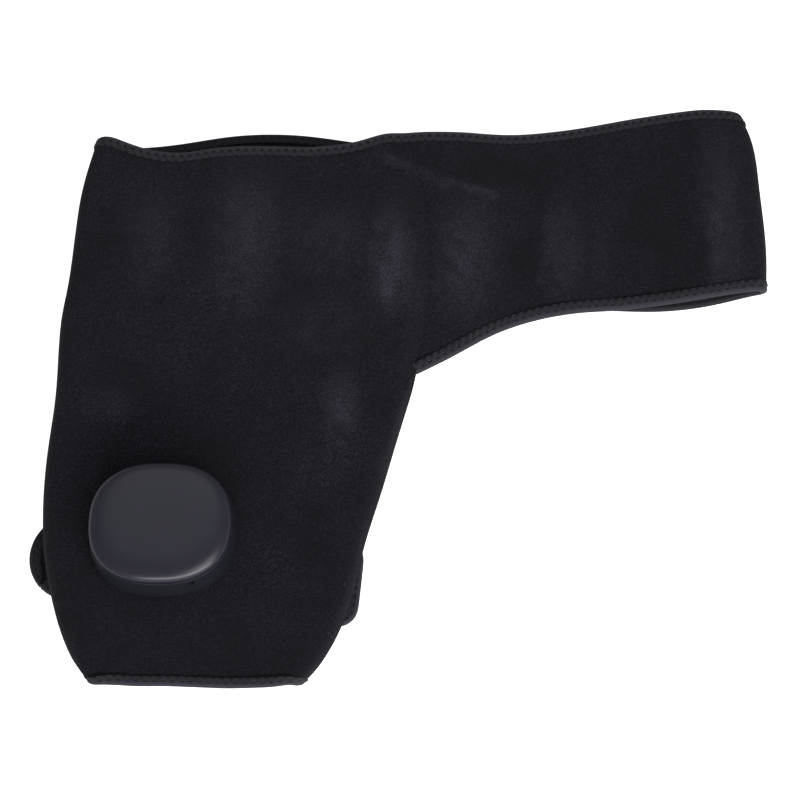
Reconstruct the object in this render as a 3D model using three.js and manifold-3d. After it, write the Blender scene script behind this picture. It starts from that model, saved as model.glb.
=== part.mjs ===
// Shoulder massage wrap, laid out flat: an arm sleeve and shoulder panel in padded cloth, a chest strap that
// folds over at its far end and comes back underneath, and a control pod with a press face on the sleeve.
// X runs across the wrap towards the strap, Y from the sleeve's hem to the neck edge, Z up from the table.
import * as THREE from 'three';
import { mergeVertices } from 'three/addons/utils/BufferGeometryUtils.js';
import Module from 'manifold-3d';

const wasm = await Module();
wasm.setup();

// Plan of the whole wrap: every outline below is in shares of these two
const wrapSpan = 432;
const wrapDepth = 362;

// Cloth, its edge binding, and how far apart pieces that rest on each other lie
const clothThickness = 3;
const bindingThickness = 0.8;
const bindingWidth = 6;
const liningThickness = 1.2;
const seatGap = 0.3;
const bindingGap = 0.5;
const bindingLipGap = 1;
const sewnGap = 0.8;
const hookThickness = 1;

// How high the layers lie
const frontHeight = 24;
const strapFrontHeight = 14.5;
const hemDropHeight = 4.5;
const foldReach = 8;
const strapFoldReach = 6;

// Stretches of the wrap over which the layers change height: across to the strap, and down to the hem
const strapSlopeShares = [0.051, 0.185];
const rearSlopeShares = [0.384, 0.453];
const frontSlopeShares = [0.348, 0.453];

// Edges in plan, as shares of the span from the sleeve to the strap's fold and of the depth from hem to neck
const leftFoldShares = [
  [-0.428, 0.4645], [-0.444, 0.376], [-0.4535, 0.2], [-0.4605, 0.14], [-0.4595, 0.006],
  [-0.4665, -0.124], [-0.4615, -0.25], [-0.439, -0.36], [-0.42, -0.418], [-0.4095, -0.4365], [-0.3955, -0.456],
];
const seamShares = [
  [0.007, 0.469], [0.028, 0.387], [0.038, 0.26], [0.036, 0.166], [0.03, 0.11], [0.02, 0.04],
];
const innerArmShares = [
  [0.02, 0.04], [0.003, -0.029], [-0.029, -0.164], [-0.051, -0.249], [-0.0625, -0.323], [-0.079, -0.378],
  [-0.0915, -0.408], [-0.108, -0.4365], [-0.1255, -0.4565],
];
const neckFrontShares = [
  [-0.363, 0.439], [-0.31, 0.428], [-0.263, 0.44], [-0.192, 0.4435], [-0.12, 0.441], [-0.035, 0.459],
];
const neckRearShares = [
  [-0.368, 0.464], [-0.3, 0.475], [-0.224, 0.4925], [-0.158, 0.4915], [-0.104, 0.4865], [-0.05, 0.47],
];
const hemFrontShares = [[-0.34, -0.461], [-0.29, -0.461], [-0.2, -0.4645]];
const hemRearShares = [[-0.335, -0.448], [-0.29, -0.436], [-0.21, -0.438], [-0.175, -0.449]];
const strapTopShares = [[0.058, 0.472], [0.165, 0.478], [0.248, 0.4905], [0.35, 0.515], [0.43, 0.529]];
const strapBottomShares = [
  [0.072, 0.0705], [0.107, 0.1015], [0.164, 0.138], [0.225, 0.156], [0.297, 0.163], [0.386, 0.178],
];
const foldFrontShares = [[0.473, 0.527], [0.4865, 0.492], [0.492, 0.39], [0.4945, 0.27], [0.4895, 0.199]];
const foldRearShares = [[0.478, 0.512], [0.488, 0.462], [0.492, 0.38], [0.495, 0.28], [0.4915, 0.206]];
const rearTopShares = [[0.347, 0.489], [0.185, 0.453], [0.046, 0.425]];
const rearBottomShares = [[0.394, 0.176], [0.303, 0.177], [0.185, 0.188], [0.046, 0.221]];

// Where the strap's sheet ends under the shoulder and its peel tab begins
const strapEndShare = -0.049;
const strapEndTopShare = 0.414;
const strapEndBottomShare = 0.243;

// Columns and rows of the cloth grids
const rowsAboveCrotch = 8;
const rowsBelowCrotch = 10;
const frontColumns = 11;
const rearColumns = 7;
const foldColumns = 5;
const innerFoldColumns = 2;
const strapFrontColumns = 12;
const strapRearColumns = 8;
const edgeRowFactor = 1.9;

// Peel tab on the strap's end
const strapTabLength = 54;
const strapTabCornerRadius = 18;
const hookInset = 9;

// Arm strap: a flat band behind the sleeve, its round end standing out at the left
const armStrapWidth = 48;
const armStrapLength = 186;
const armStrapCornerRadius = 10;
const armStrapTurn = -0.1;
const armTabReach = 8;
const armTabShares = [-0.4645, -0.248];
const armHookLength = 62;

// Control pod
const podShares = [-0.3045, -0.234];
const podHalfLength = 39.2;
const podHalfWidth = 34.7;
const podExponent = 2.4;
const podSides = 40;
const baseHeight = 17.5;
const baseWall = 2;
const baseOverhang = 0.6;
const baseFlare = 2.2;
const baseFootRadius = 1.8;
const capTravel = 0.6;
const travelMargin = 0.3;
const capSideHeight = 2;
const capRimReach = 3.2;
const capRimHeight = 2.2;
const capCrown = 2.6;
const capWall = 1.8;
const guideClearance = 0.4;
const guideThickness = 1.4;
const guideDepth = 4.4;
const lugWidth = 8;
const lugHeight = 1.4;
const lugReach = 1;
const capRibThickness = 1.2;
const capRibDepth = 2.4;
const capRibShare = 0.8;

// Inside the pod
const boardThickness = 1.6;
const boardLength = 62;
const boardWidth = 52;
const boardCornerRadius = 9;
const batteryLength = 38;
const batteryWidth = 42;
const batteryCornerRadius = 3;
const bossRadius = 3.5;
const bossAcross = 25;
const bossAlong = 18;
const stakeRadius = 1;
const stakeClearance = 0.3;
const stakeStandout = 0.5;
const switchWidth = 6;
const switchHeight = 3.5;
const plungerRadius = 1.7;
const plungerHeight = 3.2;
const plungerStandout = 1.6;
const pressBossRadius = 2.5;
const jackOffset = 17.5;
const jackWidth = 7;
const jackDepth = 11;
const jackHeight = 4.6;
const jackBore = 1.8;
const jackBoreDepth = 8;
const jackPinRadius = 0.55;
const jackMouthRadius = 2.2;
const cableOffset = 28;
const cableRadius = 3.5;
const chipWidth = 9;
const chipHeight = 1.2;
const chipOffset = 17;

// Plate and screws that clamp the pod through the cloth
const plateThickness = 1.6;
const plateHalfLength = 31;
const plateHalfWidth = 23.5;
const screwRadius = 1.5;
const screwHeadRadius = 3;
const screwHeadHeight = 1.5;
const screwFaceShare = 0.8;
const screwLength = 11.3;
const screwClearance = 0.3;
const driveSocketRadius = 1.1;
const driveSocketDepth = 0.9;

// Vibration modules under the shoulder
const moduleShares = [[-0.2285, 0.2585], [-0.066, 0.2], [-0.09, -0.004]];
const moduleWidth = 26;
const moduleLength = 42;
const moduleThickness = 9;
const moduleCornerRadius = 7;
const moduleWall = 1.2;
const moduleRiseHeight = 4.5;
const plateauMarginWidth = 20;
const plateauSlopeWidth = 16;
const podMarginWidth = 15;
const podSlopeWidth = 6;
const motorRadius = 3;
const motorLength = 16;
const motorOffset = -8;
const motorClearance = 0.3;
const cradleThickness = 1.6;
const cradleShare = 0.6;
const shaftRadius = 0.6;
const weightRadius = 2.7;
const weightLength = 7;
const weightStart = 2.5;

// Heater film and ribbon cable in the pocket behind the front cloth
const heaterThickness = 0.5;
const heaterFirstRow = 3;
const ribbonWidth = 7;
const ribbonThickness = 1;
const ribbonSlack = 1.2;
const ribbonSteps = 14;
const trunkShares = [[-0.29, -0.08], [-0.235, 0.05], [-0.2285, 0.1965]];
const innerBranchShares = [[-0.262, -0.02], [-0.2, -0.02], [-0.129, -0.004]];
const upperBranchShares = [[-0.236, 0.09], [-0.16, 0.16], [-0.107, 0.2]];

// Gentle swells that the laid cloth takes: place, half width and half length, and share of the highest
const swellHeight = 2.2;
const swells = [
  { share: [-0.004, 0.235], reachShares: [0.04, 0.13], heightShare: 1 },
  { share: [0.24, 0.25], reachShares: [0.045, 0.09], heightShare: 0.73 },
  { share: [0.43, 0.32], reachShares: [0.035, 0.17], heightShare: 0.82 },
  { share: [0.105, 0.27], reachShares: [0.045, 0.1], heightShare: 0.64 },
  { share: [-0.37, 0.31], reachShares: [0.035, 0.08], heightShare: 0.68 },
];

const overrun = 5;
const cornerSteps = 5;
const holeSides = 6;
const screwSides = 12;
const roundSides = 16;

// Heights that follow from the layers
const clothHalf = clothThickness / 2;
const bindingHalf = clothHalf + bindingGap + bindingThickness;
const rearHeight = bindingHalf + clothHalf + seatGap + hookThickness + seatGap + clothHalf;
const hookHeight = bindingHalf + clothHalf + seatGap + hookThickness / 2;
const heaterOffset = clothHalf + seatGap + heaterThickness / 2;
const moduleTopOffset = heaterOffset + heaterThickness / 2 + seatGap;
const ribbonOffset = moduleTopOffset + ribbonSlack + ribbonThickness / 2;
const liningEdgeOffset = clothHalf + seatGap + liningThickness / 2;
const liningOffset = ribbonOffset + ribbonThickness / 2 + ribbonSlack + liningThickness / 2;
const clampDepth = seatGap + plateThickness + seatGap + screwHeadHeight + seatGap;
const liningPodOffset = clothHalf + clampDepth + liningThickness;
const liningModuleOffset = moduleTopOffset + moduleThickness + seatGap + liningThickness / 2;
const podFloor = frontHeight + clothHalf + seatGap;

// Colours and finishes
function finish(color, roughness, metalness = 0) {
  return new THREE.MeshStandardMaterial({ color, roughness, metalness });
}
const bodyCloth = () => finish(0x222126, 0.95);
const edgeCloth = () => finish(0x2e2d33, 0.9);
const liningCloth = () => finish(0x161617, 0.95);
const hookTape = () => finish(0x1d1d1f, 0.8);
const capPlastic = () => finish(0x3a3a41, 0.42);
const basePlastic = () => finish(0x24262c, 0.5);
const innerPlastic = () => finish(0x303236, 0.6);
const boardResin = () => finish(0x1d4a33, 0.5);
const cellFoil = () => finish(0x9aa0a6, 0.35, 0.6);
const steel = () => finish(0xb6b9bd, 0.3, 1);
const heaterFoil = () => finish(0x8a4a26, 0.5, 0.3);
const ribbonJacket = () => finish(0x2a2a2c, 0.6);

const model = new THREE.Group();

function add(name, geometry, material) {
  const mesh = new THREE.Mesh(geometry, material);
  mesh.name = name;
  model.add(mesh);
  return mesh;
}

// Point in the plan from its shares of the span and the depth
function place([acrossShare, alongShare]) {
  return new THREE.Vector3(acrossShare * wrapSpan, alongShare * wrapDepth, 0);
}
const curveOf = (points) => new THREE.CatmullRomCurve3(points);
const ease = (low, high, value) => THREE.MathUtils.smoothstep(value, low, high);

// Closed body from points and triangles, turned so that its faces point out
function bodyOf(points, triangles) {
  let volume = 0;
  for (const [a, b, c] of triangles) {
    volume += points[a].dot(points[b].clone().cross(points[c]));
  }
  const index = triangles.flatMap(([a, b, c]) => (volume > 0 ? [a, b, c] : [a, c, b]));
  const geometry = new THREE.BufferGeometry();
  geometry.setAttribute('position', new THREE.Float32BufferAttribute(points.flatMap((p) => p.toArray()), 3));
  geometry.setIndex(index);
  geometry.computeVertexNormals();
  return geometry;
}

function toSolid(geometry) {
  const bare = geometry.clone();
  bare.deleteAttribute('normal');
  bare.deleteAttribute('uv');
  const merged = mergeVertices(bare);
  const vertProperties = new Float32Array(merged.attributes.position.array);
  const triVerts = new Uint32Array(merged.index.array);
  return new wasm.Manifold(new wasm.Mesh({ numProp: 3, vertProperties, triVerts }));
}

function toGeometry(solid) {
  const mesh = solid.getMesh();
  const geometry = new THREE.BufferGeometry();
  geometry.setAttribute('position', new THREE.BufferAttribute(mesh.vertProperties, 3));
  geometry.setIndex(new THREE.BufferAttribute(mesh.triVerts, 1));
  geometry.computeVertexNormals();
  return geometry;
}

function carve(geometry, tools) {
  return toGeometry(tools.reduce((solid, tool) => solid.subtract(toSolid(tool)), toSolid(geometry)));
}

function join(geometries) {
  return toGeometry(geometries.map(toSolid).reduce((solid, next) => solid.add(next)));
}

// Upright round bar from one height to another
function post(x, y, low, high, radius, sides = roundSides) {
  const bar = new THREE.CylinderGeometry(radius, radius, high - low, sides);
  bar.rotateX(Math.PI / 2);
  bar.translate(x, y, (low + high) / 2);
  return bar;
}

function block(x, y, low, high, width, depth) {
  const box = new THREE.BoxGeometry(width, depth, high - low);
  box.translate(x, y, (low + high) / 2);
  return box;
}

// Flat plate with round corners, which may be tighter on its right end, grown or shrunk evenly
function roundedPlate(width, depth, corner, low, high, grow = 0, rightCorner = corner) {
  const x = width / 2 + grow;
  const y = depth / 2 + grow;
  const r = corner + grow;
  const right = rightCorner + grow;
  const shape = new THREE.Shape();
  shape.moveTo(x, y - right);
  shape.absarc(x - right, y - right, right, 0, Math.PI / 2);
  shape.absarc(r - x, y - r, r, Math.PI / 2, Math.PI);
  shape.absarc(r - x, r - y, r, Math.PI, 1.5 * Math.PI);
  shape.absarc(x - right, right - y, right, 1.5 * Math.PI, 2 * Math.PI);
  const plate = new THREE.ExtrudeGeometry(shape, {
    depth: high - low,
    bevelEnabled: false,
    curveSegments: cornerSteps,
  });
  plate.translate(0, 0, low);
  return plate;
}

// Ring of points on a squircle, a circle's round sides drawn out towards a rectangle's
function squircle(halfLength, halfWidth, height) {
  const ring = [];
  for (let side = 0; side < podSides; side += 1) {
    const angle = (2 * Math.PI * side) / podSides;
    const c = Math.cos(angle);
    const s = Math.sin(angle);
    const x = halfLength * Math.sign(c) * Math.abs(c) ** (2 / podExponent);
    const y = halfWidth * Math.sign(s) * Math.abs(s) ** (2 / podExponent);
    ring.push(new THREE.Vector3(x, y, height));
  }
  return ring;
}

// Body swept round a squircle from a profile of [inset, height]; it starts and ends on the axis
function squircleBody(profile, startHeight, endHeight) {
  const ringAt = ([inset, height]) => squircle(podHalfLength - inset, podHalfWidth - inset, height);
  const rings = profile.map(ringAt);
  const points = [new THREE.Vector3(0, 0, startHeight), ...rings.flat(), new THREE.Vector3(0, 0, endHeight)];
  const last = points.length - 1;
  const triangles = [];
  for (let side = 0; side < podSides; side += 1) {
    const next = (side + 1) % podSides;
    triangles.push([0, 1 + side, 1 + next]);
    for (let ring = 0; ring < rings.length - 1; ring += 1) {
      const near = 1 + ring * podSides;
      const far = near + podSides;
      triangles.push([near + side, far + side, far + next], [near + side, far + next, near + next]);
    }
    const rim = 1 + (rings.length - 1) * podSides;
    triangles.push([last, rim + next, rim + side]);
  }
  return bodyOf(points, triangles);
}

// Share of a raised or levelled patch round a centre: 1 over its half sizes, easing to 0 outside them
function patchShare(x, y, centre, halfLength, halfWidth, slope) {
  const out = Math.max(Math.abs(x - centre.x) - halfLength, Math.abs(y - centre.y) - halfWidth);
  return 1 - ease(0, slope, out);
}

const modulePlaces = moduleShares.map(place);
const podPlace = place(podShares);
const moduleReach = [moduleWidth / 2 + plateauMarginWidth, moduleLength / 2 + plateauMarginWidth];
const podReach = [podHalfLength + baseFlare + podMarginWidth, podHalfWidth + baseFlare + podMarginWidth];
const overPod = (x, y) => patchShare(x, y, podPlace, ...podReach, podSlopeWidth);
const overModules = (x, y) => Math.max(
  ...modulePlaces.map((centre) => patchShare(x, y, centre, ...moduleReach, plateauSlopeWidth)),
);

function swellAt(x, y) {
  let share = 0;
  for (const swell of swells) {
    const centre = place(swell.share);
    const reach = place(swell.reachShares);
    const squared = ((x - centre.x) / reach.x) ** 2 + ((y - centre.y) / reach.y) ** 2;
    share += swell.heightShare * Math.exp(-squared);
  }
  return share * swellHeight;
}

// Height of the front cloth's middle: level at the pod, raised over each vibration module, easing down to
// the strap and to the hem, with soft swells elsewhere
function frontAt(x, y) {
  const level = THREE.MathUtils.lerp(frontHeight, strapFrontHeight, ease(...strapSlopeShares, x / wrapSpan));
  const drop = hemDropHeight * ease(...frontSlopeShares, -y / wrapDepth);
  const rise = THREE.MathUtils.lerp(swellAt(x, y), moduleRiseHeight, overModules(x, y));
  return level - drop + rise * (1 - overPod(x, y));
}

function rearAt(x, y) {
  return THREE.MathUtils.lerp(rearHeight, bindingHalf, ease(...rearSlopeShares, -y / wrapDepth));
}

// Patch of cloth between four curved sides, each a function of its share along
function patch(top, bottom, left, right) {
  const corners = [top(0), top(1), bottom(0), bottom(1)];
  return (u, v) => {
    const across = left(v).clone().lerp(right(v), u);
    const along = top(u).clone().lerp(bottom(u), v);
    const bilinear = corners[0].clone().lerp(corners[1], u).lerp(corners[2].clone().lerp(corners[3], u), v);
    return across.add(along).sub(bilinear);
  };
}

// Curve from a first point through a table of shares to a last point
const edgeBetween = (first, shares, last) => {
  const curve = curveOf([first, ...shares.map(place), last]);
  return (share) => curve.getPointAt(share);
};

const leftFold = curveOf(leftFoldShares.map(place));
const seamLine = curveOf(seamShares.map(place));
const innerArm = curveOf(innerArmShares.map(place));
const panelDepth = seamLine.getLength() + innerArm.getLength();
const crotchShare = seamLine.getLength() / panelDepth;
const rightEdge = (share) => (share <= crotchShare
  ? seamLine.getPointAt(share / crotchShare)
  : innerArm.getPointAt((share - crotchShare) / (1 - crotchShare)));

// Even rows, with one narrow row along each bound edge that the binding covers
const narrowShare = (bindingWidth * edgeRowFactor) / panelDepth;
const rowShares = [0];
for (let row = 0; row < rowsAboveCrotch; row += 1) {
  rowShares.push(THREE.MathUtils.lerp(narrowShare, crotchShare, row / rowsAboveCrotch));
}
for (let row = 0; row <= rowsBelowCrotch; row += 1) {
  rowShares.push(THREE.MathUtils.lerp(crotchShare, 1 - narrowShare, row / rowsBelowCrotch));
}
rowShares.push(1);
const strapNarrowShare = narrowShare / crotchShare;
const strapRowShares = [0];
for (let row = 0; row <= rowsAboveCrotch; row += 1) {
  strapRowShares.push(THREE.MathUtils.lerp(strapNarrowShare, 1 - strapNarrowShare, row / rowsAboveCrotch));
}
strapRowShares.push(1);

// Share by which the panel's right edge has rolled into the sleeve's inner fold: none above the crotch
const rowAfterCrotch = 1 / (rowsAboveCrotch + rowsBelowCrotch);
const rolled = (share) => ease(crotchShare, crotchShare + rowAfterCrotch, share);
const quarterArc = (foldReach * Math.PI) / 2;
const foldInset = (share) => THREE.MathUtils.lerp(quarterArc, foldReach, rolled(share));
const leftInside = (share) => leftFold.getPointAt(share).add(new THREE.Vector3(foldReach, 0, 0));
const rightInside = (share) => rightEdge(share).sub(new THREE.Vector3(foldInset(share), 0, 0));
const frontPlan = patch(
  edgeBetween(leftInside(0), neckFrontShares, rightInside(0)),
  edgeBetween(leftInside(1), hemFrontShares, rightInside(1)),
  leftInside,
  rightInside,
);
const rearPlan = patch(
  edgeBetween(leftInside(0), neckRearShares, rightInside(0)),
  edgeBetween(leftInside(1), hemRearShares, rightInside(1)),
  leftInside,
  rightInside,
);
const atHeight = (point, height) => new THREE.Vector3(point.x, point.y, height(point.x, point.y));

// Quarter roll at the inner fold, from the flat layer to the sleeve's sewn edge
function innerRoll(share, rollShare, height) {
  const edge = rightEdge(share);
  const flat = edge.clone().sub(new THREE.Vector3(quarterArc * (1 - rollShare), 0, 0));
  const middle = (frontAt(edge.x, edge.y) + rearAt(edge.x, edge.y)) / 2;
  const level = height(edge.x - foldReach, edge.y);
  const side = Math.sign(level - middle);
  const angle = (rollShare * Math.PI) / 2;
  const rolledPoint = new THREE.Vector3(
    edge.x - foldReach + foldReach * Math.sin(angle),
    edge.y,
    middle + (level - middle - side * seatGap) * Math.cos(angle) + side * seatGap,
  );
  return atHeight(flat, height).lerp(rolledPoint, rolled(share));
}

// Row of the main panel: in from the front's right edge, round the left fold, and back along the rear
function panelRow(share) {
  const row = [];
  for (let column = 0; column < innerFoldColumns; column += 1) {
    row.push(innerRoll(share, 1 - column / innerFoldColumns, frontAt));
  }
  for (let column = 0; column <= frontColumns; column += 1) {
    row.push(atHeight(frontPlan(1 - column / frontColumns, share), frontAt));
  }
  const front = row[row.length - 1];
  const rear = atHeight(leftInside(share), rearAt);
  for (let column = 1; column < foldColumns; column += 1) {
    const angle = (Math.PI * column) / foldColumns;
    const middle = front.clone().lerp(rear, (1 - Math.cos(angle)) / 2);
    row.push(middle.sub(new THREE.Vector3(foldReach * Math.sin(angle), 0, 0)));
  }
  for (let column = 0; column <= rearColumns; column += 1) {
    row.push(atHeight(rearPlan(column / rearColumns, share), rearAt));
  }
  for (let column = innerFoldColumns - 1; column >= 0; column -= 1) {
    row.push(innerRoll(share, 1 - column / innerFoldColumns, rearAt));
  }
  return row;
}

// Outward normal of a cloth grid at one of its points
function gridNormal(grid, row, column) {
  const up = grid[Math.max(row - 1, 0)][column];
  const down = grid[Math.min(row + 1, grid.length - 1)][column];
  const before = grid[row][Math.max(column - 1, 0)];
  const after = grid[row][Math.min(column + 1, grid[0].length - 1)];
  return after.clone().sub(before).cross(down.clone().sub(up)).normalize();
}

// Cloth of even thickness on a grid of points of its middle surface
function clothBody(grid, thickness) {
  const rows = grid.length;
  const columns = grid[0].length;
  const points = [];
  for (const side of [1, -1]) {
    for (let row = 0; row < rows; row += 1) {
      for (let column = 0; column < columns; column += 1) {
        const offset = gridNormal(grid, row, column).multiplyScalar((side * thickness) / 2);
        points.push(grid[row][column].clone().add(offset));
      }
    }
  }
  const under = rows * columns;
  const at = (row, column) => row * columns + column;
  const triangles = [];
  for (let row = 0; row < rows - 1; row += 1) {
    for (let column = 0; column < columns - 1; column += 1) {
      const [a, b] = [at(row, column), at(row, column + 1)];
      const [d, c] = [at(row + 1, column), at(row + 1, column + 1)];
      triangles.push([a, b, c], [a, c, d]);
      triangles.push([under + a, under + c, under + b], [under + a, under + d, under + c]);
    }
  }
  const rim = [];
  for (let column = 0; column < columns - 1; column += 1) {
    rim.push(at(0, column));
  }
  for (let row = 0; row < rows - 1; row += 1) {
    rim.push(at(row, columns - 1));
  }
  for (let column = columns - 1; column > 0; column -= 1) {
    rim.push(at(rows - 1, column));
  }
  for (let row = rows - 1; row > 0; row -= 1) {
    rim.push(at(row, 0));
  }
  rim.forEach((p, step) => {
    const q = rim[(step + 1) % rim.length];
    triangles.push([q, p, under + p], [q, under + p, under + q]);
  });
  return bodyOf(points, triangles);
}

// Bar lofted through sections of equal point count, closed by a flat face at each end
function loftBody(sections, outline) {
  const count = outline.length;
  const triangles = [];
  for (let step = 0; step < sections.length - 1; step += 1) {
    for (let corner = 0; corner < count; corner += 1) {
      const next = (corner + 1) % count;
      const [a, b] = [step * count + corner, step * count + next];
      triangles.push([a, b, b + count], [a, b + count, a + count]);
    }
  }
  const end = (sections.length - 1) * count;
  for (const [a, b, c] of THREE.ShapeUtils.triangulateShape(outline, [])) {
    triangles.push([a, c, b], [end + a, end + b, end + c]);
  }
  return bodyOf(sections.flat(), triangles);
}

// Binding folded over a cloth edge, in the cloth's own directions: inward along it and out along its normal
function bindingOutline() {
  const inner = clothHalf + bindingGap;
  const lip = bindingLipGap + bindingThickness;
  return [
    new THREE.Vector2(bindingWidth, bindingHalf),
    new THREE.Vector2(-bindingLipGap / 2, bindingHalf),
    new THREE.Vector2(-lip, clothHalf),
    new THREE.Vector2(-lip, -clothHalf),
    new THREE.Vector2(-bindingLipGap / 2, -bindingHalf),
    new THREE.Vector2(bindingWidth, -bindingHalf),
    new THREE.Vector2(bindingWidth, -inner),
    new THREE.Vector2(-bindingLipGap, -inner),
    new THREE.Vector2(-bindingLipGap, inner),
    new THREE.Vector2(bindingWidth, inner),
  ];
}

function edgeBinding(grid, row, firstColumn, lastColumn) {
  const outline = bindingOutline();
  const neighbour = row === 0 ? 1 : row - 1;
  const sections = [];
  for (let column = firstColumn; column <= lastColumn; column += 1) {
    const edge = grid[row][column];
    const inward = grid[neighbour][column].clone().sub(edge).normalize();
    const normal = gridNormal(grid, row, column);
    sections.push(outline.map((corner) => edge.clone()
      .addScaledVector(inward, corner.x)
      .addScaledVector(normal, corner.y)));
  }
  return loftBody(sections, outline);
}

// Main panel: shoulder and sleeve in one piece of cloth, clamped through by the pod's screws
const panelGrid = rowShares.map(panelRow);
const bosses = [[1, 1], [-1, 1], [-1, -1], [1, -1]].map(([a, b]) => [a * bossAcross, b * bossAlong]);
const bossPlaces = bosses.map(([x, y]) => [podPlace.x + x, podPlace.y + y]);
const clothLow = frontHeight - clothThickness;
const clothHigh = frontHeight + clothThickness;
const clampRadius = screwRadius + screwClearance;
const clampHoles = bossPlaces.map(([x, y]) => post(x, y, clothLow, clothHigh, clampRadius, holeSides));
const cableHole = post(podPlace.x, podPlace.y + cableOffset, clothLow, clothHigh, cableRadius, holeSides);
add('main_panel', carve(clothBody(panelGrid, clothThickness), [...clampHoles, cableHole]), bodyCloth());
add('neck_binding', edgeBinding(panelGrid, 0, 0, panelGrid[0].length - 1), edgeCloth());
add('hem_binding', edgeBinding(panelGrid, panelGrid.length - 1, 0, panelGrid[0].length - 1), edgeCloth());

// Chest strap: from its end under the shoulder out to the fold, round it, and back over to the seam
const foldFront = curveOf(foldFrontShares.map(place));
const foldRear = curveOf(foldRearShares.map(place));
const sewnEdge = (share) => seamLine.getPointAt(share).add(new THREE.Vector3(sewnGap, 0, 0));
const strapEndTop = place([strapEndShare, strapEndTopShare]);
const strapEndBottom = place([strapEndShare, strapEndBottomShare]);
const strapFrontPlan = patch(
  edgeBetween(sewnEdge(0), strapTopShares, foldFront.getPointAt(0)),
  edgeBetween(sewnEdge(1), strapBottomShares, foldFront.getPointAt(1)),
  sewnEdge,
  (share) => foldFront.getPointAt(share),
);
const strapRearPlan = patch(
  edgeBetween(foldRear.getPointAt(0), rearTopShares, strapEndTop),
  edgeBetween(foldRear.getPointAt(1), rearBottomShares, strapEndBottom),
  (share) => foldRear.getPointAt(share),
  (share) => strapEndTop.clone().lerp(strapEndBottom, share),
);
const strapRearAt = () => bindingHalf;

function strapRow(share) {
  const row = [];
  for (let column = 0; column <= strapRearColumns; column += 1) {
    row.push(atHeight(strapRearPlan(1 - column / strapRearColumns, share), strapRearAt));
  }
  const rear = row[row.length - 1];
  const front = atHeight(foldFront.getPointAt(share), frontAt);
  for (let column = 1; column < foldColumns; column += 1) {
    const angle = (Math.PI * column) / foldColumns;
    const middle = rear.clone().lerp(front, (1 - Math.cos(angle)) / 2);
    row.push(middle.add(new THREE.Vector3(strapFoldReach * Math.sin(angle), 0, 0)));
  }
  for (let column = 0; column <= strapFrontColumns; column += 1) {
    row.push(atHeight(strapFrontPlan(1 - column / strapFrontColumns, share), frontAt));
  }
  return row;
}

const strapGrid = strapRowShares.map(strapRow);
const strapLast = strapGrid[0].length - 1;
add('chest_strap', clothBody(strapGrid, clothThickness), bodyCloth());
add('strap_top_binding', edgeBinding(strapGrid, 0, 0, strapLast), edgeCloth());
add('strap_bottom_binding', edgeBinding(strapGrid, strapGrid.length - 1, 0, strapLast - 1), edgeCloth());

// Flat strap end: cloth with bound edges, kept on one side of the line where it meets the rest
function boundBand(width, length, corner, rightCorner, cutLow, cutHigh) {
  const level = (half, grow) => roundedPlate(
    length, width, corner, bindingHalf - half, bindingHalf + half, grow, rightCorner,
  );
  const cutMiddle = (cutLow + cutHigh) / 2;
  const keep = block(cutMiddle, 0, -overrun, bindingHalf * 2 + overrun, cutHigh - cutLow, width + length);
  const within = (geometry) => toGeometry(toSolid(geometry).intersect(toSolid(keep)));
  const shell = level(bindingHalf, bindingGap + bindingThickness);
  const slot = level(clothHalf + bindingGap, bindingGap);
  const middle = level(bindingHalf + overrun, -bindingWidth);
  return { cloth: within(level(clothHalf, 0)), binding: within(carve(shell, [slot, middle])) };
}

function hookPatch(width, depth) {
  const low = hookHeight - hookThickness / 2;
  return roundedPlate(width, depth, hookInset / 2, low, low + hookThickness);
}

// Peel tab: the chest strap's end, with the hook tape that grips the shoulder's outer side
const strapEndWidth = strapEndTop.y - strapEndBottom.y;
const tabCentre = new THREE.Vector3(strapEndTop.x - seatGap, (strapEndTop.y + strapEndBottom.y) / 2, 0);
const tabSizes = [strapEndWidth, strapTabLength * 2, strapTabCornerRadius, strapTabCornerRadius];
const tabBand = boundBand(...tabSizes, -strapTabLength - overrun, 0);
for (const [name, geometry, material] of [
  ['strap_end_tab', tabBand.cloth, bodyCloth()],
  ['strap_end_binding', tabBand.binding, edgeCloth()],
]) {
  add(name, geometry, material).position.copy(tabCentre);
}
const strapHookPlate = hookPatch(strapTabLength - 2 * hookInset, strapEndWidth - 2 * hookInset);
const strapHook = add('strap_hook_patch', strapHookPlate, hookTape());
strapHook.position.set(tabCentre.x - strapTabLength / 2, tabCentre.y, 0);

// Arm strap: a bound band under the sleeve; its last stretch is the tab that a finger lifts
const armFrame = new THREE.Group();
armFrame.position.copy(place(armTabShares));
armFrame.rotation.z = armStrapTurn;
model.add(armFrame);

// The band's round end stands out past the fold line, which lies at x = 0 of the strap's own frame
function armPiece(name, geometry, material, shift) {
  const mesh = add(name, geometry, material);
  mesh.position.x = shift;
  armFrame.add(mesh);
}
const armShift = armStrapLength / 2 - armTabReach;
const armFar = armStrapLength / 2 + overrun;
const armSizes = [armStrapWidth, armStrapLength, armStrapWidth / 2 - seatGap, armStrapCornerRadius];
const armBand = boundBand(...armSizes, seatGap - armShift, armFar);
const armEnd = boundBand(...armSizes, -armFar, -armShift);
const armHook = hookPatch(armHookLength, armStrapWidth - 2 * hookInset);
armPiece('arm_strap', armBand.cloth, bodyCloth(), armShift);
armPiece('arm_strap_binding', armBand.binding, edgeCloth(), armShift);
armPiece('arm_strap_tab', armEnd.cloth, bodyCloth(), armShift);
armPiece('arm_tab_binding', armEnd.binding, edgeCloth(), armShift);
armPiece('arm_hook_patch', armHook, hookTape(), armHookLength / 2 + hookInset);

// Control pod, built round its own axis with its foot at height zero
const pod = new THREE.Group();
pod.position.set(podPlace.x, podPlace.y, podFloor);
model.add(pod);

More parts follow.
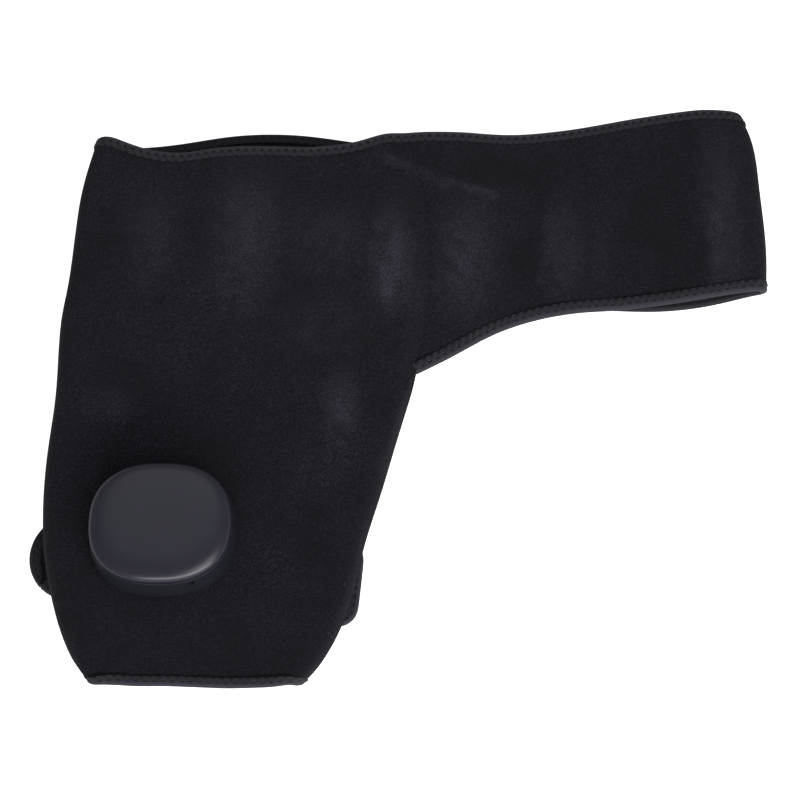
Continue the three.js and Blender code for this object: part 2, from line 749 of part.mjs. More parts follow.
function podPiece(name, geometry, material) {
  pod.add(add(name, geometry, material));
}
const boardLow = baseHeight - guideDepth - boardThickness - seatGap;
const boardHigh = boardLow + boardThickness;
const bossTop = boardLow - seatGap;
const batteryTop = boardLow - 2 * seatGap;
const jackMiddle = boardLow + jackHeight / 2 + seatGap;
const jackFront = -boardWidth / 2 - baseWall;
const capLow = baseHeight + capTravel + travelMargin;
const lugLow = capLow - guideDepth + seatGap;
const innerHalfLength = podHalfLength + baseOverhang - baseWall;
const innerHalfWidth = podHalfWidth + baseOverhang - baseWall;

// Base: a tub whose wall spreads a little to its foot, with clamp bosses, jack mouth and lug pockets
const tubProfile = [
  [baseFootRadius - baseFlare, 0],
  [baseFootRadius / 4 - baseFlare, baseFootRadius / 4],
  [-baseFlare, baseFootRadius],
  [-baseOverhang, baseHeight],
  [baseWall - baseOverhang, baseHeight],
  [baseWall - baseOverhang, baseWall],
];
const tub = squircleBody(tubProfile, 0, baseWall);
const bossBars = bosses.map(([x, y]) => post(x, y, baseWall / 2, bossTop, bossRadius));
const stakeTop = boardHigh + stakeStandout;
const stakes = bosses.map(([x, y]) => post(x, y, bossTop - stakeRadius, stakeTop, stakeRadius, holeSides));
const pilotTop = bossTop - stakeRadius * 2;
const pilots = bosses.map(([x, y]) => post(x, y, -overrun, pilotTop, clampRadius));
const lugSides = [[1, 0], [-1, 0], [0, 1], [0, -1]];
const skirtHalfLength = innerHalfLength - guideClearance;
const skirtHalfWidth = innerHalfWidth - guideClearance;

// Lug or pocket on each of the four sides: reach is how far it goes past the skirt
function sideBlocks(reach, low, high, width, depth) {
  return lugSides.map(([a, b]) => block(
    a * (skirtHalfLength + reach - depth / 2),
    b * (skirtHalfWidth + reach - depth / 2),
    low,
    high,
    a ? depth : width,
    b ? depth : width,
  ));
}
const pocketLow = lugLow - capTravel - travelMargin;
const pocketHigh = lugLow + lugHeight + seatGap;
const pocketWidth = lugWidth + guideClearance * 2;
const pockets = sideBlocks(lugReach + seatGap, pocketLow, pocketHigh, pocketWidth, baseWall + lugReach);
const jackMouth = new THREE.CylinderGeometry(jackMouthRadius, jackMouthRadius, podHalfWidth, roundSides);
jackMouth.translate(jackOffset, -podHalfWidth, jackMiddle);
const cableWay = post(0, cableOffset, -overrun, overrun, cableRadius);
const base = carve(join([tub, ...bossBars, ...stakes]), [...pilots, ...pockets, jackMouth, cableWay]);
podPiece('pod_base', base, basePlastic());

// Press cap: a crowned squircle shell with a rolled rim, a guide skirt with four snap lugs, ribs and a boss
const capSideTop = capLow + capSideHeight;
const capRimTop = capSideTop + capRimHeight;
const crownAt = (share) => capRimTop + capCrown * (1 - share * share);
const crownShares = [0.35, 0.62, 0.82];
const rimShare = (podHalfWidth - capRimReach) / podHalfWidth;
const rimPoint = (angle) => [
  capRimReach * (1 - Math.cos(angle)),
  capSideTop + capRimHeight * Math.sin(angle),
];
const skirtInset = podHalfLength - skirtHalfLength;
const capProfile = [
  ...crownShares.map((share) => [podHalfWidth * (1 - share), crownAt(share / rimShare)]),
  [capRimReach, capRimTop],
  rimPoint(Math.PI / 3),
  rimPoint(Math.PI / 6),
  [0, capSideTop],
  [0, capLow],
  [skirtInset, capLow],
  [skirtInset, capLow - guideDepth],
  [skirtInset + guideThickness, capLow - guideDepth],
  [skirtInset + guideThickness, capSideTop - capWall / 2],
  [capRimReach + capWall, capRimTop - capWall],
  [podHalfWidth * (1 - crownShares[0]), crownAt(crownShares[0]) - capWall],
];
const capShell = squircleBody(capProfile, crownAt(0), crownAt(0) - capWall);
const lugs = sideBlocks(lugReach, lugLow, lugLow + lugHeight, lugWidth, lugReach + guideThickness / 2);
const ribLow = capRimTop - capWall - capRibDepth;
const ribHigh = capRimTop - capWall / 2;
const ribs = [
  block(0, 0, ribLow, ribHigh, 2 * podHalfLength * capRibShare, capRibThickness),
  block(0, 0, ribLow, ribHigh, capRibThickness, 2 * podHalfWidth * capRibShare),
];
const switchLow = boardHigh + seatGap;
const plungerTop = switchLow + switchHeight + plungerStandout;
const pressBoss = post(0, 0, plungerTop + seatGap, ribHigh, pressBossRadius);
const windowWidth = jackWidth + lugHeight * 2;
const jackWindow = block(jackOffset, -podHalfWidth, -overrun, capLow - seatGap, windowWidth, podHalfWidth);
podPiece('press_cap', carve(join([capShell, ...lugs, ...ribs, pressBoss]), [jackWindow]), capPlastic());

// Circuit board on the heat stakes, notched for the jack and the cable, with the driver chip on it
const stakeHoleRadius = stakeRadius + stakeClearance;
const stakeHoles = bosses.map(([x, y]) => post(x, y, 0, baseHeight, stakeHoleRadius, holeSides));
const jackNotch = block(jackOffset, -boardWidth / 2, 0, baseHeight, jackWidth + 2 * seatGap, jackDepth * 2);
const cableNotch = block(0, boardWidth / 2, 0, baseHeight, cableRadius * 2, cableRadius * 2);
const board = roundedPlate(boardLength, boardWidth, boardCornerRadius, boardLow, boardHigh);
const chipLow = boardHigh - boardThickness / 2;
const chip = block(-chipOffset, 0, chipLow, boardHigh + chipHeight, chipWidth, chipWidth);
const boardCuts = [...stakeHoles, jackNotch, cableNotch];
podPiece('circuit_board', join([carve(board, boardCuts), chip]), boardResin());
const cell = roundedPlate(batteryLength, batteryWidth, batteryCornerRadius, baseWall + seatGap, batteryTop);
podPiece('battery', cell, cellFoil());

// Key switch under the press boss: a body with a round well, and the plunger that slides in it
const switchHigh = switchLow + switchHeight;
const wellLow = plungerTop - plungerHeight - capTravel - travelMargin;
const well = post(0, 0, wellLow, switchHigh + overrun, plungerRadius + seatGap);
const switchCase = block(0, 0, switchLow, switchHigh, switchWidth, switchWidth);
podPiece('switch_body', carve(switchCase, [well]), innerPlastic());
const plunger = post(0, 0, plungerTop - plungerHeight, plungerTop, plungerRadius);
podPiece('switch_plunger', plunger, innerPlastic());

// Charging jack sunk into the board's edge behind the mouth in the wall, with its centre pin
const jackLow = jackMiddle - jackHeight / 2;
const jackHigh = jackMiddle + jackHeight / 2;
const jackCase = block(jackOffset, jackFront + jackDepth / 2, jackLow, jackHigh, jackWidth, jackDepth);
const jackHole = new THREE.CylinderGeometry(jackBore, jackBore, jackBoreDepth * 2, roundSides);
jackHole.translate(jackOffset, jackFront, jackMiddle);
const jackPin = new THREE.CylinderGeometry(jackPinRadius, jackPinRadius, jackBoreDepth, holeSides);
jackPin.translate(jackOffset, jackFront + jackBoreDepth / 2 + jackBore, jackMiddle);
podPiece('charging_jack', join([carve(jackCase, [jackHole]), jackPin]), innerPlastic());

// Clamp plate and its screws, on the cloth's inner side
const plateTop = -seatGap - clothThickness - seatGap;
const plateLow = plateTop - plateThickness;
const plateCornerRadius = (plateHalfWidth * 2) / 3;
const plateSizes = [plateHalfLength * 2, plateHalfWidth * 2, plateCornerRadius];
const plateBlank = roundedPlate(...plateSizes, plateLow, plateTop);
const plateHoles = bosses.map(([x, y]) => post(x, y, plateLow - overrun, overrun, clampRadius));
podPiece('clamp_plate', carve(plateBlank, plateHoles), innerPlastic());
bosses.forEach(([x, y], count) => {
  const headTop = plateLow - seatGap;
  const headLow = headTop - screwHeadHeight;
  const profile = [
    [0, driveSocketDepth],
    [driveSocketRadius, driveSocketDepth],
    [driveSocketRadius, 0],
    [screwHeadRadius * screwFaceShare, 0],
    [screwHeadRadius, screwHeadHeight / 2],
    [screwHeadRadius, screwHeadHeight],
    [screwRadius, screwHeadHeight],
    [screwRadius, screwLength - screwRadius],
    [0, screwLength],
  ].map(([radius, height]) => new THREE.Vector2(radius, height));
  const screw = new THREE.LatheGeometry(profile, screwSides);
  screw.rotateX(Math.PI / 2);
  screw.translate(x, y, headLow);
  podPiece(`clamp_screw_${count + 1}`, toGeometry(toSolid(screw)), steel());
});

// Vibration modules: a two-part case round a small motor whose shaft spins a half-round weight
function moduleHalf(low, high, hollowLow, hollowHigh) {
  const sizes = [moduleWidth, moduleLength, moduleCornerRadius];
  const outer = roundedPlate(...sizes, low, high);
  const hollow = roundedPlate(...sizes, hollowLow, hollowHigh, -moduleWall);
  return toSolid(outer).subtract(toSolid(hollow));
}

modulePlaces.forEach((centre, count) => {
  const number = count + 1;
  const module = new THREE.Group();
  const top = frontHeight + moduleRiseHeight - moduleTopOffset;
  module.position.set(centre.x, centre.y, top - moduleThickness);
  model.add(module);
  const fit = (name, geometry, material) => module.add(add(`${name}_${number}`, geometry, material));
  const axis = moduleThickness / 2;
  const split = axis - seatGap / 2;
  const along = (radius, from, to, sides = roundSides) => {
    const bar = new THREE.CylinderGeometry(radius, radius, to - from, sides);
    bar.translate(0, (from + to) / 2, axis);
    return bar;
  };
  const motorEnd = motorOffset + motorLength / 2;
  const motorStart = motorOffset - motorLength / 2;
  const cradleTop = axis * cradleShare;
  const cradleWidth = moduleWidth * cradleShare;
  const cradle = block(0, motorOffset, moduleWall / 2, cradleTop, cradleWidth, cradleThickness);
  const seat = along(motorRadius + motorClearance, motorStart, motorEnd);
  const shell = moduleHalf(0, split, moduleWall, moduleThickness);
  const tray = shell.add(toSolid(cradle).subtract(toSolid(seat)));
  fit('module_tray', toGeometry(tray), innerPlastic());
  const lid = moduleHalf(split + seatGap, moduleThickness, -overrun, moduleThickness - moduleWall);
  fit('module_lid', toGeometry(lid), innerPlastic());
  const shaftHole = along(shaftRadius + motorClearance, motorEnd - overrun, motorEnd + overrun, holeSides);
  fit('motor', carve(along(motorRadius, motorStart, motorEnd), [shaftHole]), steel());
  const weightEnd = motorEnd + weightStart + weightLength;
  const shaft = along(shaftRadius, motorEnd - overrun + seatGap, weightEnd, holeSides);
  const disc = along(weightRadius, motorEnd + weightStart, weightEnd);
  const away = block(0, motorEnd, axis + shaftRadius / 2, moduleThickness * 2, moduleWidth, moduleLength);
  fit('motor_weight', toGeometry(toSolid(disc).subtract(toSolid(away)).add(toSolid(shaft))), steel());
});

// Heater film and inner lining: sheets on the front layer's own grid, let down by their offsets
function innerSheet([firstRow, lastRow], [firstColumn, lastColumn], thickness, offsetAt) {
  const grid = [];
  for (let row = firstRow; row <= lastRow; row += 1) {
    const line = [];
    for (let column = firstColumn; column <= lastColumn; column += 1) {
      const point = panelGrid[row][column].clone();
      const border = row === firstRow || row === lastRow || column === firstColumn || column === lastColumn;
      point.z -= offsetAt(point, border);
      line.push(point);
    }
    grid.push(line);
  }
  return clothBody(grid, thickness);
}

function liningDepth(point, border) {
  if (border) return liningEdgeOffset;
  const deep = THREE.MathUtils.lerp(liningOffset, liningModuleOffset, overModules(point.x, point.y));
  return Math.max(deep, THREE.MathUtils.lerp(liningOffset, liningPodOffset, overPod(point.x, point.y)));
}
const frontStart = innerFoldColumns;
const frontEnd = innerFoldColumns + frontColumns;
const heaterRows = [heaterFirstRow, rowsAboveCrotch + 2];
const heaterColumns = [frontStart + 1, frontEnd - 2];
const heaterSheet = innerSheet(heaterRows, heaterColumns, heaterThickness, () => heaterOffset);
add('heater_film', heaterSheet, heaterFoil());
const liningRows = [1, panelGrid.length - 2];
const liningSheet = innerSheet(liningRows, [frontStart, frontEnd], liningThickness, liningDepth);
add('inner_lining', liningSheet, liningCloth());

// Ribbon cable from the pod through the pocket to the three modules
function ribbon(points) {
  const curve = curveOf(points);
  const grid = [];
  for (let step = 0; step <= ribbonSteps; step += 1) {
    const point = curve.getPointAt(step / ribbonSteps);
    const tangent = curve.getTangentAt(step / ribbonSteps);
    const across = new THREE.Vector3(-tangent.y, tangent.x, 0).multiplyScalar(ribbonWidth / 2);
    const height = frontAt(point.x, point.y) - ribbonOffset;
    grid.push([-1, 1].map((side) => point.clone().addScaledVector(across, side).setZ(height)));
  }
  return clothBody(grid, ribbonThickness);
}
const riserLow = frontHeight - ribbonOffset - ribbonThickness / 2;
const riserHigh = podFloor + boardLow - seatGap;
const cablePlace = new THREE.Vector3(podPlace.x, podPlace.y + cableOffset, 0);
const riser = block(cablePlace.x, cablePlace.y, riserLow, riserHigh, cableRadius, ribbonThickness * 2);
const trunk = ribbon([cablePlace, ...trunkShares.map(place)]);
const branches = [innerBranchShares, upperBranchShares].map((shares) => ribbon(shares.map(place)));
add('wire_harness', join([riser, trunk, ...branches]), ribbonJacket());

// The model's origin is the middle of its footprint, on the table
const extent = new THREE.Box3().setFromObject(model, true);
const middle = extent.getCenter(new THREE.Vector3());
model.position.set(-middle.x, -middle.y, -extent.min.z);

export default model;
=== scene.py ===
import math

import bmesh
import bpy
import numpy as np
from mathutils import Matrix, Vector, noise
from mathutils.bvhtree import BVHTree
from mathutils.kdtree import KDTree


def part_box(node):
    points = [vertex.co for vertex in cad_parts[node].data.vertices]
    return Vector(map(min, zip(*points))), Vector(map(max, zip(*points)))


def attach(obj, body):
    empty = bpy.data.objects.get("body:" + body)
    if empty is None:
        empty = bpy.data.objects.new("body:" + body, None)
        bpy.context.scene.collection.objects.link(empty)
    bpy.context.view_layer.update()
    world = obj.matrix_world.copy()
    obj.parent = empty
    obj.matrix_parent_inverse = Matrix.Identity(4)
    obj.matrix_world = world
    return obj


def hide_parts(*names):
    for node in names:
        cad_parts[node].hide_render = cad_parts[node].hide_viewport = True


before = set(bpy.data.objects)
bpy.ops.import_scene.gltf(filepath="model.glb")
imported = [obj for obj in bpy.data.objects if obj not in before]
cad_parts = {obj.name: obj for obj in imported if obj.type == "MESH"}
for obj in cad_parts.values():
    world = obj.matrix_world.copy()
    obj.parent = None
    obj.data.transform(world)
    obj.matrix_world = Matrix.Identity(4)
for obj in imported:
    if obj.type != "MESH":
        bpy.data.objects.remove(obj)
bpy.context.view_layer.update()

# Studio: the wrap is shown face up over a pale floor in plain soft light. The camera looks down on it from in
# front and well above. The floor lies a little lower than the wrap, so that the strap's end has room to peel.
view_distance = 1.1
view_elevation = math.radians(68)
view_target = Vector((-0.0054, -0.0117, 0.015))
sensor_width = 36
lens_length = 85.35
ambient_strength = 0.34
floor_drop = 0.06
floor_size = 6
floor_glow = 0.85


def linear(code):
    """Linear colour of an sRGB hex value."""
    shares = [int(code[place : place + 2], 16) / 255 for place in (0, 2, 4)]
    return [s / 12.92 if s <= 0.04045 else ((s + 0.055) / 1.055) ** 2.4 for s in shares] + [1]


def add_node(tree, kind, inputs=(), **settings):
    """Adds a node with its settings, and its inputs as values or as links from other nodes."""
    node = tree.nodes.new(kind)
    for name, value in settings.items():
        setattr(node, name, value)
    for name, value in dict(inputs).items():
        if isinstance(value, bpy.types.NodeSocket):
            tree.links.new(value, node.inputs[name])
        else:
            node.inputs[name].default_value = value
    return node


def new_finish(name):
    """A material and its node tree, still empty."""
    material = bpy.data.materials.new(name)
    material.use_nodes = True
    material.node_tree.nodes.clear()
    return material, material.node_tree


camera_data = bpy.data.cameras.new("camera")
camera_data.sensor_width = sensor_width
camera_data.lens = lens_length
camera = bpy.data.objects.new("camera", camera_data)
view_way = Vector((0, -math.cos(view_elevation), math.sin(view_elevation)))
camera.location = view_target + view_distance * view_way
camera.rotation_euler = (math.pi / 2 - view_elevation, 0, 0)
bpy.context.scene.collection.objects.link(camera)
bpy.context.scene.camera = camera
bpy.context.scene.view_settings.view_transform = "Standard"

world = bpy.data.worlds.new("studio")
bpy.context.scene.world = world
world.use_nodes = True
tree = world.node_tree
tree.nodes.clear()
ray = add_node(tree, "ShaderNodeLightPath").outputs
seen = add_node(
    tree, "ShaderNodeMath", {0: ray["Is Camera Ray"], 1: ray["Is Transmission Ray"]}, operation="MAXIMUM"
).outputs[0]
ambient = add_node(tree, "ShaderNodeBackground", {"Color": linear("f4f6fa"), "Strength": ambient_strength})
backdrop = add_node(tree, "ShaderNodeBackground", {"Color": linear("ffffff"), "Strength": 1})
sky = add_node(tree, "ShaderNodeMixShader", {0: seen, 1: ambient.outputs[0], 2: backdrop.outputs[0]})
add_node(tree, "ShaderNodeOutputWorld", {"Surface": sky.outputs[0]})

for name, place, width, height, power in [
    ("front_softbox", Vector((0.75, -2.56, 1.3)), 3.6, 0.8, 78),
    ("fill_softbox", Vector((1.3, -1.5, 2.1)), 1.6, 1.7, 26),
    ("top_softbox", Vector((-0.2, 0.9, 1.5)), 1.2, 1.2, 2.5),
]:
    lamp_data = bpy.data.lights.new(name, "AREA")
    lamp_data.shape = "RECTANGLE"
    lamp_data.size = width
    lamp_data.size_y = height
    lamp_data.energy = power
    lamp = bpy.data.objects.new(name, lamp_data)
    lamp.location = place
    lamp.rotation_euler = (-place).to_track_quat("-Z", "Y").to_euler()
    bpy.context.scene.collection.objects.link(lamp)

bpy.ops.object.select_all(action="DESELECT")
bpy.ops.mesh.primitive_plane_add(size=floor_size, location=(0, 0, -floor_drop))
floor = bpy.context.object
floor.name = "floor"
floor_paint, tree = new_finish("matt_white_floor")
chalk = add_node(tree, "ShaderNodeBsdfDiffuse", {"Color": linear("f6f6f6")})
ray = add_node(tree, "ShaderNodeLightPath").outputs
glow_share = add_node(
    tree, "ShaderNodeMath", {0: ray["Is Camera Ray"], 1: floor_glow}, operation="MULTIPLY"
).outputs[0]
glow = add_node(tree, "ShaderNodeEmission", {"Color": linear("ffffff"), "Strength": glow_share})
lit = add_node(tree, "ShaderNodeAddShader", {0: chalk.outputs[0], 1: glow.outputs[0]})
add_node(tree, "ShaderNodeOutputMaterial", {"Surface": lit.outputs[0]})
floor.data.materials.append(floor_paint)

# Shoulder panel and chest strap: a foam laminate 3 mm thick, faced with brushed loop pile. The panel is one
# piece folded round the arm, the strap a second one folded at its far end, and a flat seam joins them.
weld_distance = 0.00001
sharp_turn = math.radians(50)
# A folded cloth's cut faces have this many thicknesses behind them, measured from just inside them
cut_depth = 1.5
depth_start = 0.0006

# One millimetre in metres, the script's own unit
millimetre = 0.001

# The cloth stays level about the pod: how far from its middle, and how far on it swells fully, in metres
pod_clear = 0.045
pod_rise = 0.012

# Seam: its place, the gap between the two cloths and where that closes, in metres
seam_place = 0.005
seam_gap = 0.00076
gap_near = 0.0008
gap_far = 0.004

# Valley along the seam and the ridge beside it: reach and place in metres, heights in millimetres
seam_reach = 0.006
valley_depth = 0.3
valley_gain = 1.1
ridge_offset = 0.010
ridge_reach = 0.006
ridge_height = 1.4
ridge_start = 0.2
ridge_end = 0.5

# Unevenness of the cloth: height, and the width and length of its lumps, in millimetres
uneven_height = 0.5
lump_width = 19
lump_length = 26
layer_offset = 7

# Swells: middle, half width, half length and height, in millimetres
panel_swells = [
    (-10, 74, 12, 34, 1.6), (-39, -21, 13, 20, 1.2), (-153, 91, 13, 26, 1.0), (-96, 97, 20, 40, 0.8),
    (33, 77, 15, 32, 1.2), (100, 88, 17, 30, 1.2), (187, 113, 13, 50, 1.4), (-62, 95, 7, 36, -0.8),
    (-128, 100, 8, 40, -0.8), (68, 95, 10, 40, -0.8), (150, 100, 18, 50, -0.8),
]

# Creases: points of the line, width and height, in millimetres
creases = [
    ([(-14, 143), (3, 136), (20, 127), (31, 125), (50, 121)], 3.0, 1.5),
    ([(0, 146), (18, 136), (40, 132), (70, 130)], 7.0, -0.8),
    ([(-63, -142), (-43, -147)], 1.6, -0.9),
    ([(-62, -140), (-42, -145)], 1.6, 0.6),
    ([(-197, -137), (-186, -139)], 1.6, -0.8),
    ([(-197, -135), (-186, -137)], 1.8, 0.6),
    ([(-150, 50), (-100, 47), (-50, 48), (-6, 50)], 2.2, -0.45),
]

# Patches of painted sheen, paler, and after them patches of painted shade, darker: middle, half width, half
# length and strength
painted_sheen_patches = [
    (-96, 92, 19, 44, 0.62), (-153, 91, 14, 28, 0.42), (-46, 87, 24, 27, 0.3), (-10, 74, 11, 34, 1.0),
    (-39, -21, 9, 20, 0.72), (33, 77, 16, 34, 0.6), (92, 84, 13, 30, 0.5), (114, 84, 6, 24, 0.24),
    (188, 110, 11, 50, 0.54), (-171, -18, 11, 9, 0.28), (-50, 30, 30, 20, 0.2),
]
patch_edge_across = 2.4
patch_edge_down = 2.6
painted_shade_patches = [
    (54, 138, 24, 12, 0.8), (-110, -165, 95, 26, 0.4), (73, 86, 9, 34, 0.35), (150, 100, 20, 40, 0.3),
]
shade_patch_edge = 2.4
shade_sheen_limit = 0.3

# Ragged edges of the patches, in millimetres, and how much their strength varies
ragged_size = 9
ragged_layer = 3
ragged_across = 5
ragged_down = 9
ragged_gain = 0.7

# Painted highlight along the first crease's ridge: strength, how much it varies, and width in millimetres
crease_highlight = 0.34
crease_highlight_ragged = 0.5
crease_highlight_width = 4.2

# Hem, in millimetres: how far the front layer hangs down, how much further at each corner, how far the rear
# layer draws up there, and where the hang begins and is full
hem_drop = 1.2
corner_drop = 1.2
corner_draw = 2.4
hem_corners = (-174, -73)
corner_width = 11
hang_start = -160
hang_full = -172


def pick(piece):
    bpy.ops.object.select_all(action="DESELECT")
    bpy.context.view_layer.objects.active = piece
    piece.select_set(True)


def finish_with(piece, kind, **settings):
    """Adds a modifier to a piece and applies it."""
    pick(piece)
    modifier = piece.modifiers.new(kind.lower(), kind)
    for name, value in settings.items():
        setattr(modifier, name, value)
    bpy.ops.object.modifier_apply(modifier=modifier.name)


def new_piece(name, points, faces):
    data = bpy.data.meshes.new(name)
    data.from_pydata([tuple(point) for point in points], [], faces)
    piece = bpy.data.objects.new(name, data)
    bpy.context.scene.collection.objects.link(piece)
    return piece


def smooth(piece, angle=50):
    pick(piece)
    bpy.ops.object.shade_smooth_by_angle(angle=math.radians(angle))


def regions_of(mesh, sharp, faces):
    """Number of the region between sharp edges that each face is in, and the numbers of the two largest."""
    region = {}
    areas = []
    for start in faces:
        if start.index in region:
            continue
        number = len(areas)
        region[start.index] = number
        waiting = [start]
        area = 0
        while waiting:
            face = waiting.pop()
            area += face.calc_area()
            for edge in face.edges:
                if edge.index in sharp:
                    continue
                for other in edge.link_faces:
                    if other.index not in region:
                        region[other.index] = number
                        waiting.append(other)
        areas.append(area)
    return region, sorted(range(len(areas)), key=lambda number: -areas[number])[:2]


def cut_cloth(node, name, levels, turn=sharp_turn, folded=False):
    """Cloth with the form of a CAD node, its faces made square and fine, its cut edges kept crisp. Cut faces
    lie beyond sharp turns, or in a folded cloth have more than the cloth's thickness behind them."""
    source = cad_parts[node].data
    piece = new_piece(name, [v.co for v in source.vertices], [tuple(f.vertices) for f in source.polygons])
    mesh = bmesh.new()
    mesh.from_mesh(piece.data)
    bmesh.ops.remove_doubles(mesh, verts=mesh.verts, dist=weld_distance)
    bmesh.ops.join_triangles(
        mesh, faces=mesh.faces, angle_face_threshold=sharp_turn, angle_shape_threshold=sharp_turn
    )
    mesh.normal_update()
    mesh.edges.index_update()
    mesh.faces.index_update()
    cut = mesh.faces.layers.int.new("cut_face")
    if folded:
        tree = BVHTree.FromBMesh(mesh)
        depths = []
        for face in mesh.faces:
            start = face.calc_center_median() - face.normal * depth_start
            depths.append(tree.ray_cast(start, -face.normal)[3] or 0)
        thickness = float(np.median(depths))
        for face, depth in zip(mesh.faces, depths):
            face[cut] = int(depth > thickness * cut_depth)
    else:
        sharp = {edge.index for edge in mesh.edges if edge.calc_face_angle(0) > turn}
        region, skins = regions_of(mesh, sharp, mesh.faces)
        for face in mesh.faces:
            face[cut] = int(region[face.index] not in skins)
    crease = mesh.edges.layers.float.new("crease_edge")
    for edge in mesh.edges:
        sides = {face[cut] for face in edge.link_faces}
        edge[crease] = float(len(sides) == 2 or (1 in sides and edge.calc_face_angle(0) > turn))
    mesh.to_mesh(piece.data)
    mesh.free()
    finish_with(piece, "SUBSURF", levels=levels, render_levels=levels)
    smooth(piece)
    piece["turn"] = turn
    return piece


def points_of(piece):
    points = np.empty(len(piece.data.vertices) * 3)
    piece.data.vertices.foreach_get("co", points)
    return points.reshape(-1, 3)


def move_to(piece, points):
    piece.data.vertices.foreach_set("co", points.ravel())
    piece.data.update()


def ease(low, high, value):
    share = np.clip((value - low) / (high - low), 0, 1)
    return share * share * (3 - 2 * share)


def skins_of(mesh):
    """Region of each uncut face, the numbers of the two skins, and the edges between skins and cut faces."""
    mesh.edges.index_update()
    mesh.verts.index_update()
    mesh.faces.index_update()
    cut = mesh.faces.layers.int["cut_face"]
    sharp = {edge.index for edge in mesh.edges if len({face[cut] for face in edge.link_faces}) == 2}
    return *regions_of(mesh, sharp, [face for face in mesh.faces if not face[cut]]), sharp


def cut_edges(piece):
    """Runs of a cloth's cut edge between its corners, point by point: the edge's middle, the way out of its
    outer face, and the way in along the cloth."""
    mesh = bmesh.new()
    mesh.from_mesh(piece.data)
    region, skins, sharp = skins_of(mesh)

    def longest_loop(skin):
        beside = {}
        inside = {}
        for edge in mesh.edges:
            if edge.index not in sharp or len(edge.link_faces) != 2:
                continue
            within = [face for face in edge.link_faces if region.get(face.index) == skin]
            if len(within) != 1:
                continue
            first, last = edge.verts
            for here, there in ((first, last), (last, first)):
                beside.setdefault(here.index, []).append(there.index)
                inside[here.index] = within[0].calc_center_median()
        loops = []
        left = dict.fromkeys(sorted(beside))
        while left:
            here = next(iter(left))
            loop = []
            while here is not None:
                loop.append(here)
                left.pop(here)
                here = next((there for there in beside[here] if there in left), None)
            loops.append(loop)
        loop = max(loops, key=len)
        return loop, [inside[here] for here in loop]

    mesh.verts.ensure_lookup_table()
    outer, insides = longest_loop(skins[0])
    inner, _ = longest_loop(skins[1])
    tree = KDTree(len(inner))
    for number, here in enumerate(inner):
        tree.insert(mesh.verts[here].co, number)
    tree.balance()
    outer_points = np.array([mesh.verts[here].co for here in outer])
    inner_points = np.array([tree.find(mesh.verts[here].co)[0] for here in outer])
    insides = np.array(insides)
    mesh.free()
    steps = np.roll(outer_points, -1, axis=0) - outer_points
    steps /= np.linalg.norm(steps, axis=1)[:, None]
    turns = (steps * np.roll(steps, 1, axis=0)).sum(1)
    corners = [number for number in range(len(outer)) if turns[number] < math.cos(piece["turn"])]
    middle = (outer_points + inner_points) / 2
    out = outer_points - inner_points
    out /= np.maximum(np.linalg.norm(out, axis=1), weld_distance)[:, None]
    runs = []
    for first, last in zip(corners, corners[1:] + [corners[0] + len(outer)]):
        at = [number % len(outer) for number in range(first, last + 1)]
        run = middle[at]
        along = np.gradient(run, axis=0)
        along /= np.linalg.norm(along, axis=1)[:, None]
        inward = np.cross(out[at], along)
        if ((insides[at] - run) * inward).sum() < 0:
            inward = -inward
        runs.append({"middle": run, "out": out[at], "inward": inward})
    return runs


def distance_to(run, points):
    """Distance in plan from each point to a run's nearest point, and that point's share along the run."""
    tree = KDTree(len(run))
    for number, (x, y, _) in enumerate(run):
        tree.insert((x, y, 0), number)
    tree.balance()
    found = [tree.find((x, y, 0)) for x, y, _ in points]
    return np.array([hit[2] for hit in found]), np.array([hit[1] for hit in found]) / (len(run) - 1)


def line_weight(points, line, width):
    """1 along a line in plan, falling off over its width."""
    nearest = np.full(len(points), np.inf)
    for (x0, y0), (x1, y1) in zip(line, line[1:]):
        start = np.array((x0, y0)) * millimetre
        step = np.array((x1, y1)) * millimetre - start
        share = np.clip(((points[:, :2] - start) @ step) / (step @ step), 0, 1)
        nearest = np.minimum(nearest, np.linalg.norm(points[:, :2] - start - share[:, None] * step, axis=1))
    return np.exp(-((nearest / (width * millimetre)) ** 2))


panel = cut_cloth("main_panel", "shoulder_panel", levels=3, folded=True)
strap = cut_cloth("chest_strap", "chest_strap_cloth", levels=3, folded=True)
pod_low, pod_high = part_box("pod_base")
pod_middle = (pod_low + pod_high) / 2
seam_run = min(
    cut_edges(strap),
    key=lambda run: np.abs(run["middle"][:, 0] - seam_place).mean() - run["middle"][:, 2].mean(),
)
seam_line = seam_run["middle"][np.argsort(-seam_run["middle"][:, 1])]

